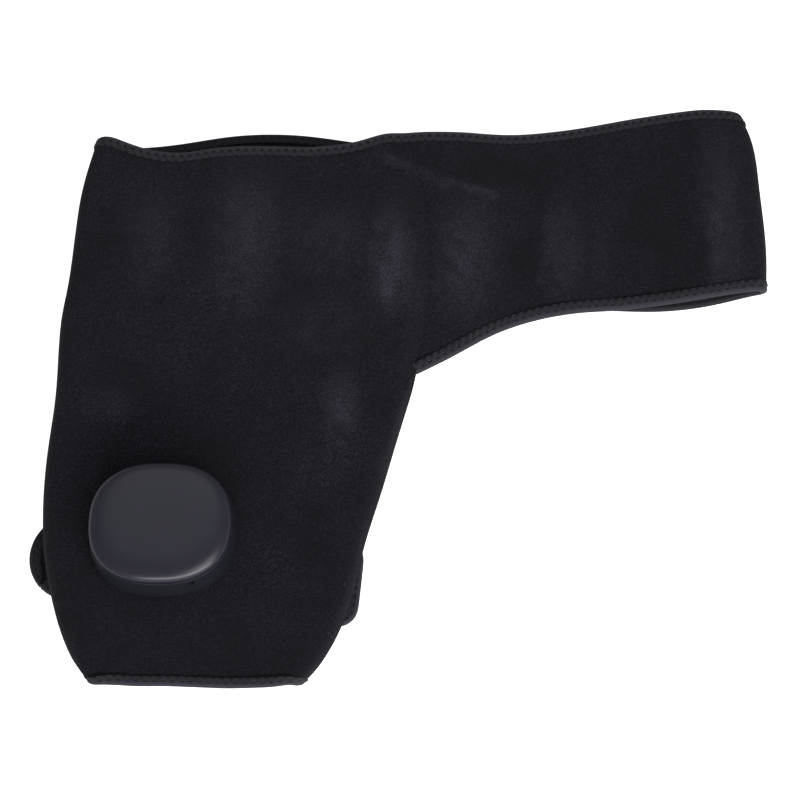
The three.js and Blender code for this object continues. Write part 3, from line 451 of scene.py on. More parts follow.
for piece, side, layer_low, layer_high in [
    (panel, 1, 0.012, 0.019),
    (strap, -1, 0.006, 0.011),
]:
    points = points_of(piece)
    upper = ease(layer_low, layer_high, points[:, 2])
    gap, along = distance_to(seam_line, points)
    points[:, 0] += side * upper * seam_gap / 2 * (1 - ease(gap_near, gap_far, gap))
    x, y = points[:, 0] / millimetre, points[:, 1] / millimetre
    lift = np.zeros(len(points))
    for middle_x, middle_y, wide, long, height in panel_swells:
        lift += height * np.exp(-(((x - middle_x) / wide) ** 2) - ((y - middle_y) / long) ** 2)
    for line, width, height in creases:
        lift += height * line_weight(points, line, width)
    hanging = ease(hang_start, hang_full, y)
    by_corner = sum(np.exp(-(((x - corner) / corner_width) ** 2)) for corner in hem_corners)
    drop = -(hem_drop + corner_drop * by_corner) * upper + corner_draw * by_corner * (1 - upper)
    points[:, 1] += hanging * drop * millimetre
    uneven = [noise.noise((a / lump_width, b / lump_length, side * layer_offset)) for a, b in zip(x, y)]
    lift += uneven_height * np.array(uneven)
    from_pod = np.hypot(points[:, 0] - pod_middle.x, points[:, 1] - pod_middle.y)
    lift *= ease(pod_clear, pod_clear + pod_rise, from_pod)
    valley = (valley_depth + valley_gain * along) * np.exp(-((gap / seam_reach) ** 2))
    ridge = ridge_height * ease(ridge_start, ridge_end, along)
    ridge = ridge * np.exp(-(((gap - ridge_offset) / ridge_reach) ** 2)) * (side > 0)
    points[:, 2] += upper * (lift - valley + ridge) * millimetre
    move_to(piece, points)
    # Painted sheen patches, a painted highlight on the crease and painted shade patches, kept in one
    # attribute: above 0 paler, below 0 darker
    painted_sheen_and_shade = np.zeros(len(points))
    ragged = np.array([noise.noise((a / ragged_size, b / ragged_size, ragged_layer)) for a, b in zip(x, y)])
    for middle_x, middle_y, wide, long, strength in painted_sheen_patches:
        across = np.abs(x - middle_x + ragged_across * ragged) / wide
        down = np.abs(y - middle_y + ragged_down * ragged) / long
        sheen_patch = strength * np.exp(-(across ** patch_edge_across) - down ** patch_edge_down)
        painted_sheen_and_shade = np.maximum(painted_sheen_and_shade, sheen_patch)
    painted_sheen_and_shade *= 1 + ragged_gain * ragged
    # Painted highlight: the crease's ridge painted paler
    on_crease = line_weight(points, creases[0][0], crease_highlight_width)
    painted_sheen_and_shade = np.maximum(painted_sheen_and_shade, (crease_highlight + crease_highlight_ragged * ragged) * on_crease)
    # Painted shade: darker patches, weaker where painted sheen already lies
    for middle_x, middle_y, wide, long, strength in painted_shade_patches:
        across = np.abs(x - middle_x) / wide
        down = np.abs(y - middle_y) / long
        patch_shade = strength * np.exp(-(across ** shade_patch_edge) - down ** shade_patch_edge)
        painted_sheen_and_shade -= patch_shade * (1 - ease(0, shade_sheen_limit, painted_sheen_and_shade))
    attribute = piece.data.attributes.new("painted_sheen_and_shade", "FLOAT", "POINT")
    attribute.data.foreach_set("value", (painted_sheen_and_shade * upper).astype(np.float32))

# Brushed loop pile on foam: black yarn with a violet cast, matt, with pale specks of lint. It is painted
# paler in patches and along a crease, as painted sheen and highlight, and darker in other patches, as painted
# shade.
# Loops stand about 0.7 mm apart, drawn 1.1 mm apart to show.
loop_spacing = 1.1 * millimetre
tuft_spacing = 2.0 * millimetre
lie_spacing = 35 * millimetre
lint_spacing = 7 * millimetre
lint_size = 0.04
lint_strength = 0.3

loop_pile, tree = new_finish("brushed_loop_pile")
place = add_node(tree, "ShaderNodeTexCoord").outputs["Object"]
loops, tufts, lie = (
    add_node(
        tree, "ShaderNodeTexNoise", {"Vector": place, "Scale": 1 / size, "Detail": detail, "Roughness": rough}
    ).outputs["Fac"]
    for size, detail, rough in [(loop_spacing, 1, 0.6), (tuft_spacing, 2, 0.55), (lie_spacing, 1, 0.5)]
)
sheen_and_shade = add_node(tree, "ShaderNodeAttribute", attribute_name="painted_sheen_and_shade").outputs["Fac"]
grain = add_node(tree, "ShaderNodeMapRange", {"Value": loops, "From Min": 0.42, "From Max": 0.64}).outputs[0]
tuft_share, lie_share = (
    add_node(
        tree, "ShaderNodeMapRange", {"Value": value, "From Min": 0.3, "From Max": 0.7, "To Max": most}
    ).outputs[0]
    for value, most in [(tufts, 0.42), (lie, 0.35)]
)
mixed = add_node(tree, "ShaderNodeMath", {0: tuft_share, 1: lie_share}, operation="ADD").outputs[0]
pale_share = add_node(tree, "ShaderNodeMath", {0: grain, 1: mixed}, operation="MULTIPLY").outputs[0]
# A colour mix takes its two colours at inputs 6 and 7 and gives its own at output 2
base = add_node(
    tree, "ShaderNodeMix", {"Factor": pale_share, 6: linear("0f0e14"), 7: linear("2c2a35")}, data_type="RGBA"
).outputs[2]
# Painted shade: darker where the attribute is below 0
painted_shade_share = add_node(
    tree, "ShaderNodeMapRange", {"Value": sheen_and_shade, "From Min": 0, "From Max": -1, "To Max": 0.9}
).outputs[0]
painted_shade_colour = add_node(
    tree, "ShaderNodeMix", {"Factor": painted_shade_share, 6: base, 7: linear("0d0c11")}, data_type="RGBA"
).outputs[2]
# Painted sheen and highlight: paler where the attribute is above 0, broken up by the loops
sheen_grain = add_node(tree, "ShaderNodeMapRange", {"Value": grain, "To Min": 0.27, "To Max": 0.66}).outputs[0]
sheen_share = add_node(tree, "ShaderNodeMath", {0: sheen_and_shade, 1: sheen_grain}, operation="MULTIPLY").outputs[0]
painted_sheen_colour = add_node(
    tree, "ShaderNodeMix", {"Factor": sheen_share, 6: painted_shade_colour, 7: linear("43414c")}, data_type="RGBA"
).outputs[2]
cells = add_node(
    tree, "ShaderNodeTexVoronoi", {"Vector": place, "Scale": 1 / lint_spacing}
).outputs["Distance"]
lint = add_node(tree, "ShaderNodeMath", {0: cells, 1: lint_size}, operation="LESS_THAN").outputs[0]
lint_share = add_node(tree, "ShaderNodeMath", {0: lint, 1: lint_strength}, operation="MULTIPLY").outputs[0]
colour = add_node(
    tree, "ShaderNodeMix", {"Factor": lint_share, 6: painted_sheen_colour, 7: linear("77767c")}, data_type="RGBA"
).outputs[2]
height = add_node(tree, "ShaderNodeMath", {0: loops, 1: tufts}, operation="ADD").outputs[0]
relief = add_node(tree, "ShaderNodeBump", {"Strength": 0.55, "Distance": 0.0005, "Height": height})
shader = add_node(tree, "ShaderNodeBsdfPrincipled", {
    "Base Color": colour, "Roughness": 0.95, "Specular IOR Level": 0.15, "Sheen Weight": 0.06,
    "Sheen Roughness": 0.6, "Sheen Tint": linear("c4c3cc"), "Normal": relief.outputs[0],
})
add_node(tree, "ShaderNodeOutputMaterial", {"Surface": shader.outputs[0]})


def dress(piece, material, body, node):
    """Puts a finished piece in place of a CAD node."""
    piece.data.materials.append(material)
    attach(piece, body)
    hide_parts(node)


dress(panel, loop_pile, "wrap", "main_panel")
dress(strap, loop_pile, "wrap", "chest_strap")

# Edge bindings: knitted tape folded over the cut edge, held by a zigzag cover stitch through both sides. The
# tape is smoother and a little paler than the cloth, and it dips where the needle went through.
tape_reach = 4.8 * millimetre
hem_reach = 3.4 * millimetre
tape_outer = 2.5 * millimetre
tape_inner = 1.58 * millimetre
tape_lip = 1.8 * millimetre
lip_share = 0.8
lip_steps = 9
flat_steps = 8
tape_step = 0.2 * millimetre
edge_overhang = 0.15 * millimetre
edge_drop = 0.3 * millimetre
outside_share = 1.2
stitch_pitch = 4.9 * millimetre
near_row = 0.33
far_row = 0.92
stitch_dip = 0.5 * millimetre
stitch_hole = 1.2 * millimetre
thread_radius = 0.2 * millimetre
thread_rise = 0.06 * millimetre
strip_start = 0.6
strip_full = 1.4
hole_core = 0.7
hole_rim = 1.1
sections_per_stitch = 6
thread_stations = 6
thread_sides = 6
evening_passes = 10


def tape_outline(reach):
    """Section of the folded tape: distance in from the cut edge, height over the cloth's middle, and place on
    the tape, 1 at the cut edge and 2 at the tape's own edge, and negative on the inner side."""
    lip = [
        (-tape_lip + tape_outer * lip_share * (1 - math.cos(angle)), tape_outer * math.sin(angle))
        for angle in (math.pi / 2 * step / lip_steps for step in range(lip_steps + 1))
    ]
    flat = [reach * step / flat_steps for step in range(flat_steps + 1)]
    top = lip + [(inward, tape_outer) for inward in flat if inward > lip[-1][0] + tape_step]
    top += [(reach + edge_overhang, tape_outer - edge_drop), (reach, tape_inner), (-tape_step, tape_inner)]
    upper = [(inward, height, 1 + inward / reach) for inward, height in top]
    return upper + [(inward, -height, -place) for inward, height, place in upper[:0:-1]]


def run_at(run, distances):
    """Middle, way out and way in at distances along a run, which is carried straight on past its ends."""
    middle = run["middle"]
    steps = np.linalg.norm(np.diff(middle, axis=0), axis=1)
    along = np.concatenate([[0], np.cumsum(steps)])
    inside = np.clip(distances, 0, along[-1])
    found = {}
    for key, values in run.items():
        found[key] = np.stack([np.interp(inside, along, values[:, axis]) for axis in range(3)], axis=-1)
    start = middle[1] - middle[0]
    end = middle[-1] - middle[-2]
    found["middle"] += np.minimum(distances, 0)[..., None] * (start / np.linalg.norm(start))
    found["middle"] += np.maximum(distances - along[-1], 0)[..., None] * (end / np.linalg.norm(end))
    for key in ("out", "inward"):
        found[key] /= np.linalg.norm(found[key], axis=-1)[..., None]
    return found


def run_length(run):
    return np.linalg.norm(np.diff(run["middle"], axis=0), axis=1).sum()


def smoothed(run):
    """The run with small steps from the cloth's faces evened out."""
    even = {}
    for key, values in run.items():
        values = values.copy()
        for _ in range(evening_passes):
            values[1:-1] = (values[:-2] + 2 * values[1:-1] + values[2:]) / 4
        even[key] = values
    return even


def turn_out(piece):
    """Makes a closed piece's faces look outwards."""
    mesh = bmesh.new()
    mesh.from_mesh(piece.data)
    bmesh.ops.recalc_face_normals(mesh, faces=mesh.faces)
    mesh.to_mesh(piece.data)
    mesh.free()


def sew_tape(name, run, reach, before, after):
    """Tape folded over a run of cut edge, with needle dips along its two rows of stitches."""
    outline = np.array(tape_outline(reach))
    length = run_length(run) + before + after
    count = int(round(length / stitch_pitch)) * sections_per_stitch
    distances = np.linspace(-before, run_length(run) + after, count + 1)
    at = run_at(run, distances)
    turn = np.arange(count + 1) / sections_per_stitch
    points = []
    for inward, height, _ in outline:
        near = math.exp(-(((inward - near_row * reach) / stitch_hole) ** 2))
        far = math.exp(-(((inward - far_row * reach) / stitch_hole) ** 2))
        dip = near * (0.5 + 0.5 * np.cos(2 * math.pi * turn)) + far * (0.5 - 0.5 * np.cos(2 * math.pi * turn))
        outside = abs(height) > tape_inner * outside_share
        sunk = height - math.copysign(1, height) * stitch_dip * dip * outside
        points.append(at["middle"] + inward * at["inward"] + sunk[:, None] * at["out"])
    points = np.stack(points, axis=1)
    corners = len(outline)
    faces = []
    for a in range(0, count * corners, corners):
        for b in range(corners):
            c = (b + 1) % corners
            faces.append((a + b, a + c, a + corners + c, a + corners + b))
    faces += [tuple(range(corners))[::-1], tuple(count * corners + b for b in range(corners))]
    tape = new_piece(name, points.reshape(-1, 3), faces)
    uv = tape.data.uv_layers.new(name="along_tape")
    flat = np.stack([np.repeat(turn * stitch_pitch, corners), np.tile(outline[:, 2], count + 1)], axis=-1)
    corner_vertex = np.empty(len(tape.data.loops), int)
    tape.data.loops.foreach_get("vertex_index", corner_vertex)
    uv.data.foreach_set("uv", flat[corner_vertex].astype(np.float32).ravel())
    turn_out(tape)
    smooth(tape, angle=60)
    return tape


def sew_thread(name, run, reach, before, after):
    """Zigzag cover stitch on both sides of a tape, each thread arching from one needle hole to the next."""
    length = run_length(run) + before + after
    count = int(round(length / stitch_pitch))
    pitch = length / count
    shares = np.linspace(0, 1, thread_stations)
    starts = np.arange(2 * count) / 2 * pitch - before
    forth = np.arange(2 * count) % 2 == 0
    distances = starts[:, None] + shares * pitch / 2
    across_rows = np.where(forth[:, None], shares, 1 - shares)
    inward = reach * (near_row + (far_row - near_row) * across_rows)
    at = run_at(run, distances)
    points = []
    for side in (1, -1):
        arch = (stitch_dip + thread_rise) * np.sin(math.pi * shares) ** 0.5
        height = side * (tape_outer - stitch_dip + arch)
        centre = at["middle"] + inward[..., None] * at["inward"] + height[None, :, None] * at["out"]
        along = np.gradient(centre, axis=1)
        along /= np.linalg.norm(along, axis=-1)[..., None]
        across = np.cross(along, at["out"])
        across /= np.linalg.norm(across, axis=-1)[..., None]
        up = np.cross(across, along)
        for number in range(thread_sides):
            angle = 2 * math.pi * number / thread_sides
            points.append(centre + thread_radius * (math.cos(angle) * across + math.sin(angle) * up))
    points = np.stack(points, axis=2)
    stitches, stations, ring = points.shape[:3]
    faces = []
    for stitch in range(stitches):
        for side in range(2):
            first = stitch * stations * ring + side * thread_sides
            for station in range(stations - 1):
                a = first + station * ring
                for b in range(thread_sides):
                    c = (b + 1) % thread_sides
                    faces.append((a + b, a + c, a + ring + c, a + ring + b))
            last = first + (stations - 1) * ring
            faces.append(tuple(first + b for b in range(thread_sides))[::-1])
            faces.append(tuple(last + b for b in range(thread_sides)))
    thread = new_piece(name, points.reshape(-1, 3), faces)
    turn_out(thread)
    smooth(thread, angle=60)
    return thread


def flecked(name, first, last, flecks, grain, strength, depth, rough, metallic=0):
    """A finish whose colour varies over flecks and whose relief is a grain, each given as its size in metres
    and its detail."""
    material, tree = new_finish(name)
    place = add_node(tree, "ShaderNodeTexCoord").outputs["Object"]
    share, height = (
        add_node(
            tree, "ShaderNodeTexNoise", {"Vector": place, "Scale": 1 / size, "Detail": detail}
        ).outputs["Fac"]
        for size, detail in (flecks, grain)
    )
    colour = add_node(
        tree, "ShaderNodeMix", {"Factor": share, 6: linear(first), 7: linear(last)}, data_type="RGBA"
    ).outputs[2]
    relief = add_node(tree, "ShaderNodeBump", {"Strength": strength, "Distance": depth, "Height": height})
    shader = add_node(tree, "ShaderNodeBsdfPrincipled", {
        "Base Color": colour, "Roughness": rough, "Metallic": metallic, "Normal": relief.outputs[0],
    })
    add_node(tree, "ShaderNodeOutputMaterial", {"Surface": shader.outputs[0]})
    return material


def surface_of(node):
    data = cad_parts[node].data
    return BVHTree.FromPolygons([v.co for v in data.vertices], [tuple(f.vertices) for f in data.polygons])


def bound_run(piece, node):
    """The run of a cloth's cut edge that a CAD binding is folded over, in steps of about a millimetre."""
    tree = surface_of(node)
    run = min(
        cut_edges(piece),
        key=lambda run: np.mean([tree.find_nearest(Vector(point))[3] for point in run["middle"]]),
    )
    length = run_length(run)
    return smoothed(run_at(run, np.linspace(0, length, int(length / millimetre))))


# Knitted polyester tape in the cloth's violet black: fine ribs across it about 0.6 mm apart, drawn 0.9 mm
# apart, with painted shade, nearly black, in a hole at each needle mark. Its inner side is painted darker, as
# painted shade. The stitched strip is darker too, where pile comes through.
rib_spacing = 0.9 * millimetre
fuzz_size = 1.3 * millimetre

# Length of about one band of a wave texture at a scale of 1, in metres
wave_length = 2 / 6.283

knit_tape, tree = new_finish("knitted_tape")
place = add_node(tree, "ShaderNodeTexCoord").outputs["Object"]
flat_place = add_node(tree, "ShaderNodeUVMap", uv_map="along_tape").outputs[0]
parts = add_node(tree, "ShaderNodeSeparateXYZ", {0: flat_place}).outputs
ribs = add_node(
    tree, "ShaderNodeTexWave",
    {"Vector": flat_place, "Scale": wave_length / rib_spacing, "Distortion": 1.2, "Detail": 1},
    bands_direction="X",
).outputs["Fac"]
fuzz = add_node(
    tree, "ShaderNodeTexNoise", {"Vector": place, "Scale": 1 / fuzz_size, "Detail": 2}
).outputs["Fac"]
weave = add_node(tree, "ShaderNodeMath", {0: ribs, 1: fuzz}, operation="MULTIPLY").outputs[0]
tape_colour = add_node(
    tree, "ShaderNodeMix", {"Factor": weave, 6: linear("25232b"), 7: linear("3b3944")}, data_type="RGBA"
).outputs[2]
# Painted shade: the tape's inner side darker
inner_shade_share = add_node(
    tree, "ShaderNodeMapRange", {"Value": parts["Y"], "From Min": 0.3, "From Max": -0.3, "To Max": 0.75}
).outputs[0]
inner_shaded_colour = add_node(
    tree, "ShaderNodeMix", {"Factor": inner_shade_share, 6: tape_colour, 7: linear("15131b")}, data_type="RGBA"
).outputs[2]
over_tape = add_node(tree, "ShaderNodeMath", {0: parts["Y"]}, operation="ABSOLUTE").outputs[0]
strip_share = add_node(tree, "ShaderNodeMapRange", {
    "Value": over_tape, "From Min": 1 + near_row * strip_start, "From Max": 1 + near_row * strip_full,
    "To Max": 0.55,
}).outputs[0]
strip_colour = add_node(
    tree, "ShaderNodeMix", {"Factor": strip_share, 6: inner_shaded_colour, 7: linear("1b1921")}, data_type="RGBA"
).outputs[2]
turns = add_node(tree, "ShaderNodeMath", {0: parts["X"], 1: stitch_pitch}, operation="DIVIDE").outputs[0]
# Painted shade: a nearly black dot in each needle hole
hole_shades = []
for row, offset in ((near_row, 0.5), (far_row, 0.0)):
    shifted = add_node(tree, "ShaderNodeMath", {0: turns, 1: offset}, operation="ADD").outputs[0]
    share = add_node(tree, "ShaderNodeMath", {0: shifted}, operation="FRACT").outputs[0]
    centred = add_node(tree, "ShaderNodeMath", {0: share, 1: 0.5}, operation="SUBTRACT").outputs[0]
    lengthwise = add_node(
        tree, "ShaderNodeMath", {0: centred, 1: stitch_pitch}, operation="MULTIPLY"
    ).outputs[0]
    beside = add_node(tree, "ShaderNodeMath", {0: over_tape, 1: 1 + row}, operation="SUBTRACT").outputs[0]
    crosswise = add_node(tree, "ShaderNodeMath", {0: beside, 1: tape_reach}, operation="MULTIPLY").outputs[0]
    away = add_node(tree, "ShaderNodeCombineXYZ", {0: lengthwise, 1: crosswise}).outputs[0]
    distance = add_node(tree, "ShaderNodeVectorMath", {0: away}, operation="LENGTH").outputs["Value"]
    hole_shades.append(add_node(tree, "ShaderNodeMapRange", {
        "Value": distance, "From Min": stitch_hole * hole_core, "From Max": stitch_hole * hole_rim,
        "To Min": 1, "To Max": 0,
    }).outputs[0])
hole_shade = add_node(tree, "ShaderNodeMath", {0: hole_shades[0], 1: hole_shades[1]}, operation="MAXIMUM").outputs[0]
colour = add_node(
    tree, "ShaderNodeMix", {"Factor": hole_shade, 6: strip_colour, 7: linear("050507")}, data_type="RGBA"
).outputs[2]
relief = add_node(tree, "ShaderNodeBump", {"Strength": 0.25, "Distance": 0.0003, "Height": weave})
shader = add_node(tree, "ShaderNodeBsdfPrincipled", {
    "Base Color": colour, "Roughness": 0.8, "Specular IOR Level": 0.3, "Sheen Weight": 0.08,
    "Sheen Roughness": 0.5, "Normal": relief.outputs[0],
})
add_node(tree, "ShaderNodeOutputMaterial", {"Surface": shader.outputs[0]})

# Filament thread as dark as the tape, a little glossy: its twist is about 0.3 mm long, drawn 0.8 mm long
cover_thread = flecked(
    "polyester_thread", "131217", "25232b", flecks=(0.0008, 1), grain=(0.0008, 1), strength=0.4, depth=0.0002,
    rough=0.5,
)


def bind_edge(piece, node, name, body, before=0.0, after=0.0, reach=tape_reach):
    """Tape and thread over one cut edge of a cloth, in place of its CAD binding."""
    run = bound_run(piece, node)
    tape = sew_tape(name, run, reach, before, after)
    thread = sew_thread(name + "_thread", run, reach, before, after)
    tape.data.materials.append(knit_tape)
    thread.data.materials.append(cover_thread)
    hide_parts(node)
    for sewn in (tape, thread):
        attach(sewn, body)
    return [tape, thread]


join = 0.5 * seam_gap
panel_edges = bind_edge(panel, "neck_binding", "neck_tape", "wrap", join, join)
panel_edges += bind_edge(panel, "hem_binding", "hem_tape", "wrap", reach=hem_reach)
strap_edges = bind_edge(strap, "strap_top_binding", "strap_top_tape", "wrap", join, join)
strap_edges += bind_edge(strap, "strap_bottom_binding", "strap_bottom_tape", "wrap")

# Inner faces of the laminate: a smooth black jersey knit bonded to the foam, matt and even. Its wales stand
# about 0.7 mm apart, drawn 1.2 mm apart to show.
wale_spacing = 1.2 * millimetre
mottle_size = 4 * millimetre

jersey_knit, tree = new_finish("jersey_knit")
place = add_node(tree, "ShaderNodeTexCoord").outputs["Object"]
wales = add_node(
    tree, "ShaderNodeTexWave",
    {"Vector": place, "Scale": wave_length / wale_spacing, "Distortion": 2, "Detail": 1}, bands_direction="X",
).outputs["Fac"]
mottle = add_node(
    tree, "ShaderNodeTexNoise", {"Vector": place, "Scale": 1 / mottle_size, "Detail": 2}
).outputs["Fac"]
knit = add_node(tree, "ShaderNodeMath", {0: wales, 1: mottle}, operation="MULTIPLY").outputs[0]
colour = add_node(
    tree, "ShaderNodeMix", {"Factor": knit, 6: linear("0c0c0e"), 7: linear("19191c")}, data_type="RGBA"
).outputs[2]
relief = add_node(tree, "ShaderNodeBump", {"Strength": 0.4, "Distance": 0.0003, "Height": knit})
shader = add_node(tree, "ShaderNodeBsdfPrincipled", {
    "Base Color": colour, "Roughness": 0.9, "Specular IOR Level": 0.2, "Normal": relief.outputs[0],
})
add_node(tree, "ShaderNodeOutputMaterial", {"Surface": shader.outputs[0]})

for piece in (panel, strap):
    piece.data.materials.append(jersey_knit)
    mesh = bmesh.new()
    mesh.from_mesh(piece.data)
    region, skins, _ = skins_of(mesh)
    for face in mesh.faces:
        face.material_index = int(region.get(face.index) == skins[1])
    mesh.to_mesh(piece.data)
    mesh.free()

# Hook tape: a woven backing sewn on flat, with rows of moulded nylon mushroom hooks that grip the brushed
# pile. The hooks are drawn coarser and further apart than the real ones, and clear of the patch's edge.
hook_height = 0.6 * millimetre
hook_spacing = 2.0 * millimetre
hook_margin = 1.6 * millimetre
# Rings of one hook from its foot up: radius and height, in millimetres
hook_rings = [(0.26, -0.1), (0.24, 0.36), (0.55, 0.4), (0.34, 0.6)]
hook_sides = 6
row_start = 0.25
row_stagger = 0.5
from_above = 1

# Black nylon with a dull shine, the backing's weave about 0.5 mm across and drawn 0.9 mm across to show
hook_nylon = flecked(
    "moulded_hook_nylon", "121214", "2c2c30", flecks=(0.0009, 2), grain=(0.0009, 2), strength=0.3,
    depth=0.0002, rough=0.55,
)


def hook_patch(node, name, body):
    """Backing cut to a CAD patch's outline and a field of hooks standing on it."""
    low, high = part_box(node)
    field = surface_of(node)
    backing = cut_cloth(node, name, levels=1)
    for vertex in backing.data.vertices:
        if vertex.co.z > (low.z + high.z) / 2:
            vertex.co.z -= hook_height
    points = []
    faces = []
    foot = high.z - hook_height
    for column in range(int((high.x - low.x) / hook_spacing)):
        for row in range(int((high.y - low.y) / hook_spacing)):
            x = low.x + (column + 0.5) * hook_spacing
            y = low.y + (row + row_start + row_stagger * (column % 2)) * hook_spacing
            ways = ((1, 0), (-1, 0), (0, 1), (0, -1))
            about = [(x + a * hook_margin, y + b * hook_margin) for a, b in ways]
            if not all(field.ray_cast(Vector((a, b, from_above)), Vector((0, 0, -1)))[0] for a, b in about):
                continue
            first = len(points)
            for radius, height in hook_rings:
                for side in range(hook_sides):
                    angle = 2 * math.pi * side / hook_sides
                    points.append((
                        x + radius * millimetre * math.cos(angle), y + radius * millimetre * math.sin(angle),
                        foot + height * millimetre,
                    ))
            for ring in range(len(hook_rings) - 1):
                for side in range(hook_sides):
                    a = first + ring * hook_sides + side
                    b = first + ring * hook_sides + (side + 1) % hook_sides
                    faces.append((a, b, b + hook_sides, a + hook_sides))
            faces.append(tuple(range(first, first + hook_sides))[::-1])
            faces.append(tuple(range(len(points) - hook_sides, len(points))))
    hooks = new_piece(name + "_hooks", points, faces)
    smooth(hooks, angle=40)
    for sewn in (backing, hooks):
        sewn.data.materials.append(hook_nylon)
        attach(sewn, body)
    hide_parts(node)


# Strap end: the end of the chest strap carries the hook patch that grips the strap's other layer. It is cut
# from the same laminate and bound on three sides, and it peels away downwards at the cut's line.
strap_end = cut_cloth("strap_end_tab", "strap_end_cloth", levels=3)
dress(strap_end, loop_pile, "strap_end", "strap_end_tab")
end_edges = bind_edge(strap_end, "strap_end_binding", "strap_end_tape", "strap_end")
hook_patch("strap_hook_patch", "strap_hook_backing", "strap_end")

# Arm strap: a straight strap of the laminate that goes round the upper arm behind the panel. Its end tab
# turns on the fold at the left. Both are bound, and their tapes are cut off square at the tab's joint.
arm_turn = math.radians(42)
tab_gap = 0.3 * millimetre


def cut_off(piece, place, normal):
    """Cuts a piece at a plane, drops what lies on the normal's side of it, and closes the cut."""
    mesh = bmesh.new()
    mesh.from_mesh(piece.data)
    everything = mesh.verts[:] + mesh.edges[:] + mesh.faces[:]
    bmesh.ops.bisect_plane(mesh, geom=everything, plane_co=place, plane_no=normal, clear_outer=True)
    bmesh.ops.holes_fill(mesh, edges=[edge for edge in mesh.edges if edge.is_boundary])
    mesh.to_mesh(piece.data)
    mesh.free()


arm_strap = cut_cloth("arm_strap", "arm_strap_cloth", levels=3, turn=arm_turn)
arm_tab = cut_cloth("arm_strap_tab", "arm_tab_cloth", levels=3, turn=arm_turn)
arm_edges = bind_edge(arm_strap, "arm_strap_binding", "arm_strap_tape", "wrap")
tab_edges = bind_edge(arm_tab, "arm_tab_binding", "arm_tab_tape", "arm_tab")
joint_run = min(cut_edges(arm_tab), key=run_length)
joint_place = Vector(joint_run["middle"].mean(axis=0))
to_tab = Vector(joint_run["inward"].mean(axis=0)).normalized()
for piece in arm_edges:
    cut_off(piece, joint_place, to_tab)
for piece in tab_edges:
    cut_off(piece, joint_place + tab_gap * to_tab, -to_tab)
for piece, node, body, flat, area, edges in [
    (arm_strap, "arm_strap", "wrap", (0.19, 0.056), 0.0092, arm_edges),
    (arm_tab, "arm_strap_tab", "arm_tab", (0.0115, 0.036), 0.00031, tab_edges),
]:
    dress(piece, loop_pile, body, node)
hook_patch("arm_hook_patch", "arm_hook_backing", "wrap")

# Vibration modules: three flat moulded capsules under the panel, each with a coin-sized motor lying across it
# and an off-centre weight on the motor's shaft. The nylon is matt, with a fine grain drawn 0.5 mm wide to
# show. The steel is turned, so that fine marks break its shine.
moulded_nylon = flecked(
    "matt_moulded_nylon", "2a2c2f", "36383c", flecks=(0.009, 3), grain=(0.0005, 1), strength=0.2,
    depth=0.0001, rough=0.5,
)

turning_mark = 3 * millimetre
mark_stretch = (1, 8, 1)
turned_steel, tree = new_finish("turned_steel")
place = add_node(tree, "ShaderNodeTexCoord").outputs["Object"]
stretch = add_node(tree, "ShaderNodeMapping", {"Vector": place, "Scale": mark_stretch}).outputs[0]
marks = add_node(
    tree, "ShaderNodeTexNoise", {"Vector": stretch, "Scale": 1 / turning_mark, "Detail": 3}
).outputs["Fac"]
colour = add_node(
    tree, "ShaderNodeMix", {"Factor": marks, 6: linear("a8abae"), 7: linear("c9ccd0")}, data_type="RGBA"
).outputs[2]
shine = add_node(tree, "ShaderNodeMapRange", {"Value": marks, "To Min": 0.22, "To Max": 0.42}).outputs[0]
shader = add_node(
    tree, "ShaderNodeBsdfPrincipled", {"Base Color": colour, "Roughness": shine, "Metallic": 1.0}
)
add_node(tree, "ShaderNodeOutputMaterial", {"Surface": shader.outputs[0]})


def paint(names, material):
    """Gives CAD pieces a finish."""
    for name in names:
        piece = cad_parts[name]
        for place in piece.material_slots:
            place.material = material


for number in ("1", "2", "3"):
    paint(["module_tray_" + number, "module_lid_" + number], moulded_nylon)
    paint(["motor_" + number, "motor_weight_" + number], turned_steel)

# Heater: a polyimide film with an etched foil track, laid between the panel and the lining, amber and half
# glossy with the track darker. The harness is a flat bundle of wires in dull black silicone, from the pod's
# cable hole to the film and to each motor.
heat_track_spacing = 6 * millimetre
ripple_size = 20 * millimetre
wire_spacing = 1.2 * millimetre

polyimide_film, tree = new_finish("etched_polyimide_film")
place = add_node(tree, "ShaderNodeTexCoord").outputs["Object"]
track = add_node(
    tree, "ShaderNodeTexWave",
    {"Vector": place, "Scale": wave_length / heat_track_spacing, "Distortion": 0.6, "Detail": 0},
    bands_direction="Y",
).outputs["Fac"]
etched = add_node(tree, "ShaderNodeMapRange", {"Value": track, "From Min": 0.55, "From Max": 0.62}).outputs[0]
ripple = add_node(
    tree, "ShaderNodeTexNoise", {"Vector": place, "Scale": 1 / ripple_size, "Detail": 2}
).outputs["Fac"]
film = add_node(
    tree, "ShaderNodeMix", {"Factor": ripple, 6: linear("7f4212"), 7: linear("96541c")}, data_type="RGBA"
).outputs[2]
colour = add_node(
    tree, "ShaderNodeMix", {"Factor": etched, 6: film, 7: linear("5c3716")}, data_type="RGBA"
).outputs[2]
relief = add_node(tree, "ShaderNodeBump", {"Strength": 0.4, "Distance": 0.0004, "Height": ripple})
shader = add_node(
    tree, "ShaderNodeBsdfPrincipled", {"Base Color": colour, "Roughness": 0.35, "Normal": relief.outputs[0]}
)
add_node(tree, "ShaderNodeOutputMaterial", {"Surface": shader.outputs[0]})

heater = cut_cloth("heater_film", "heater_sheet", levels=2)
dress(heater, polyimide_film, "wrap", "heater_film")

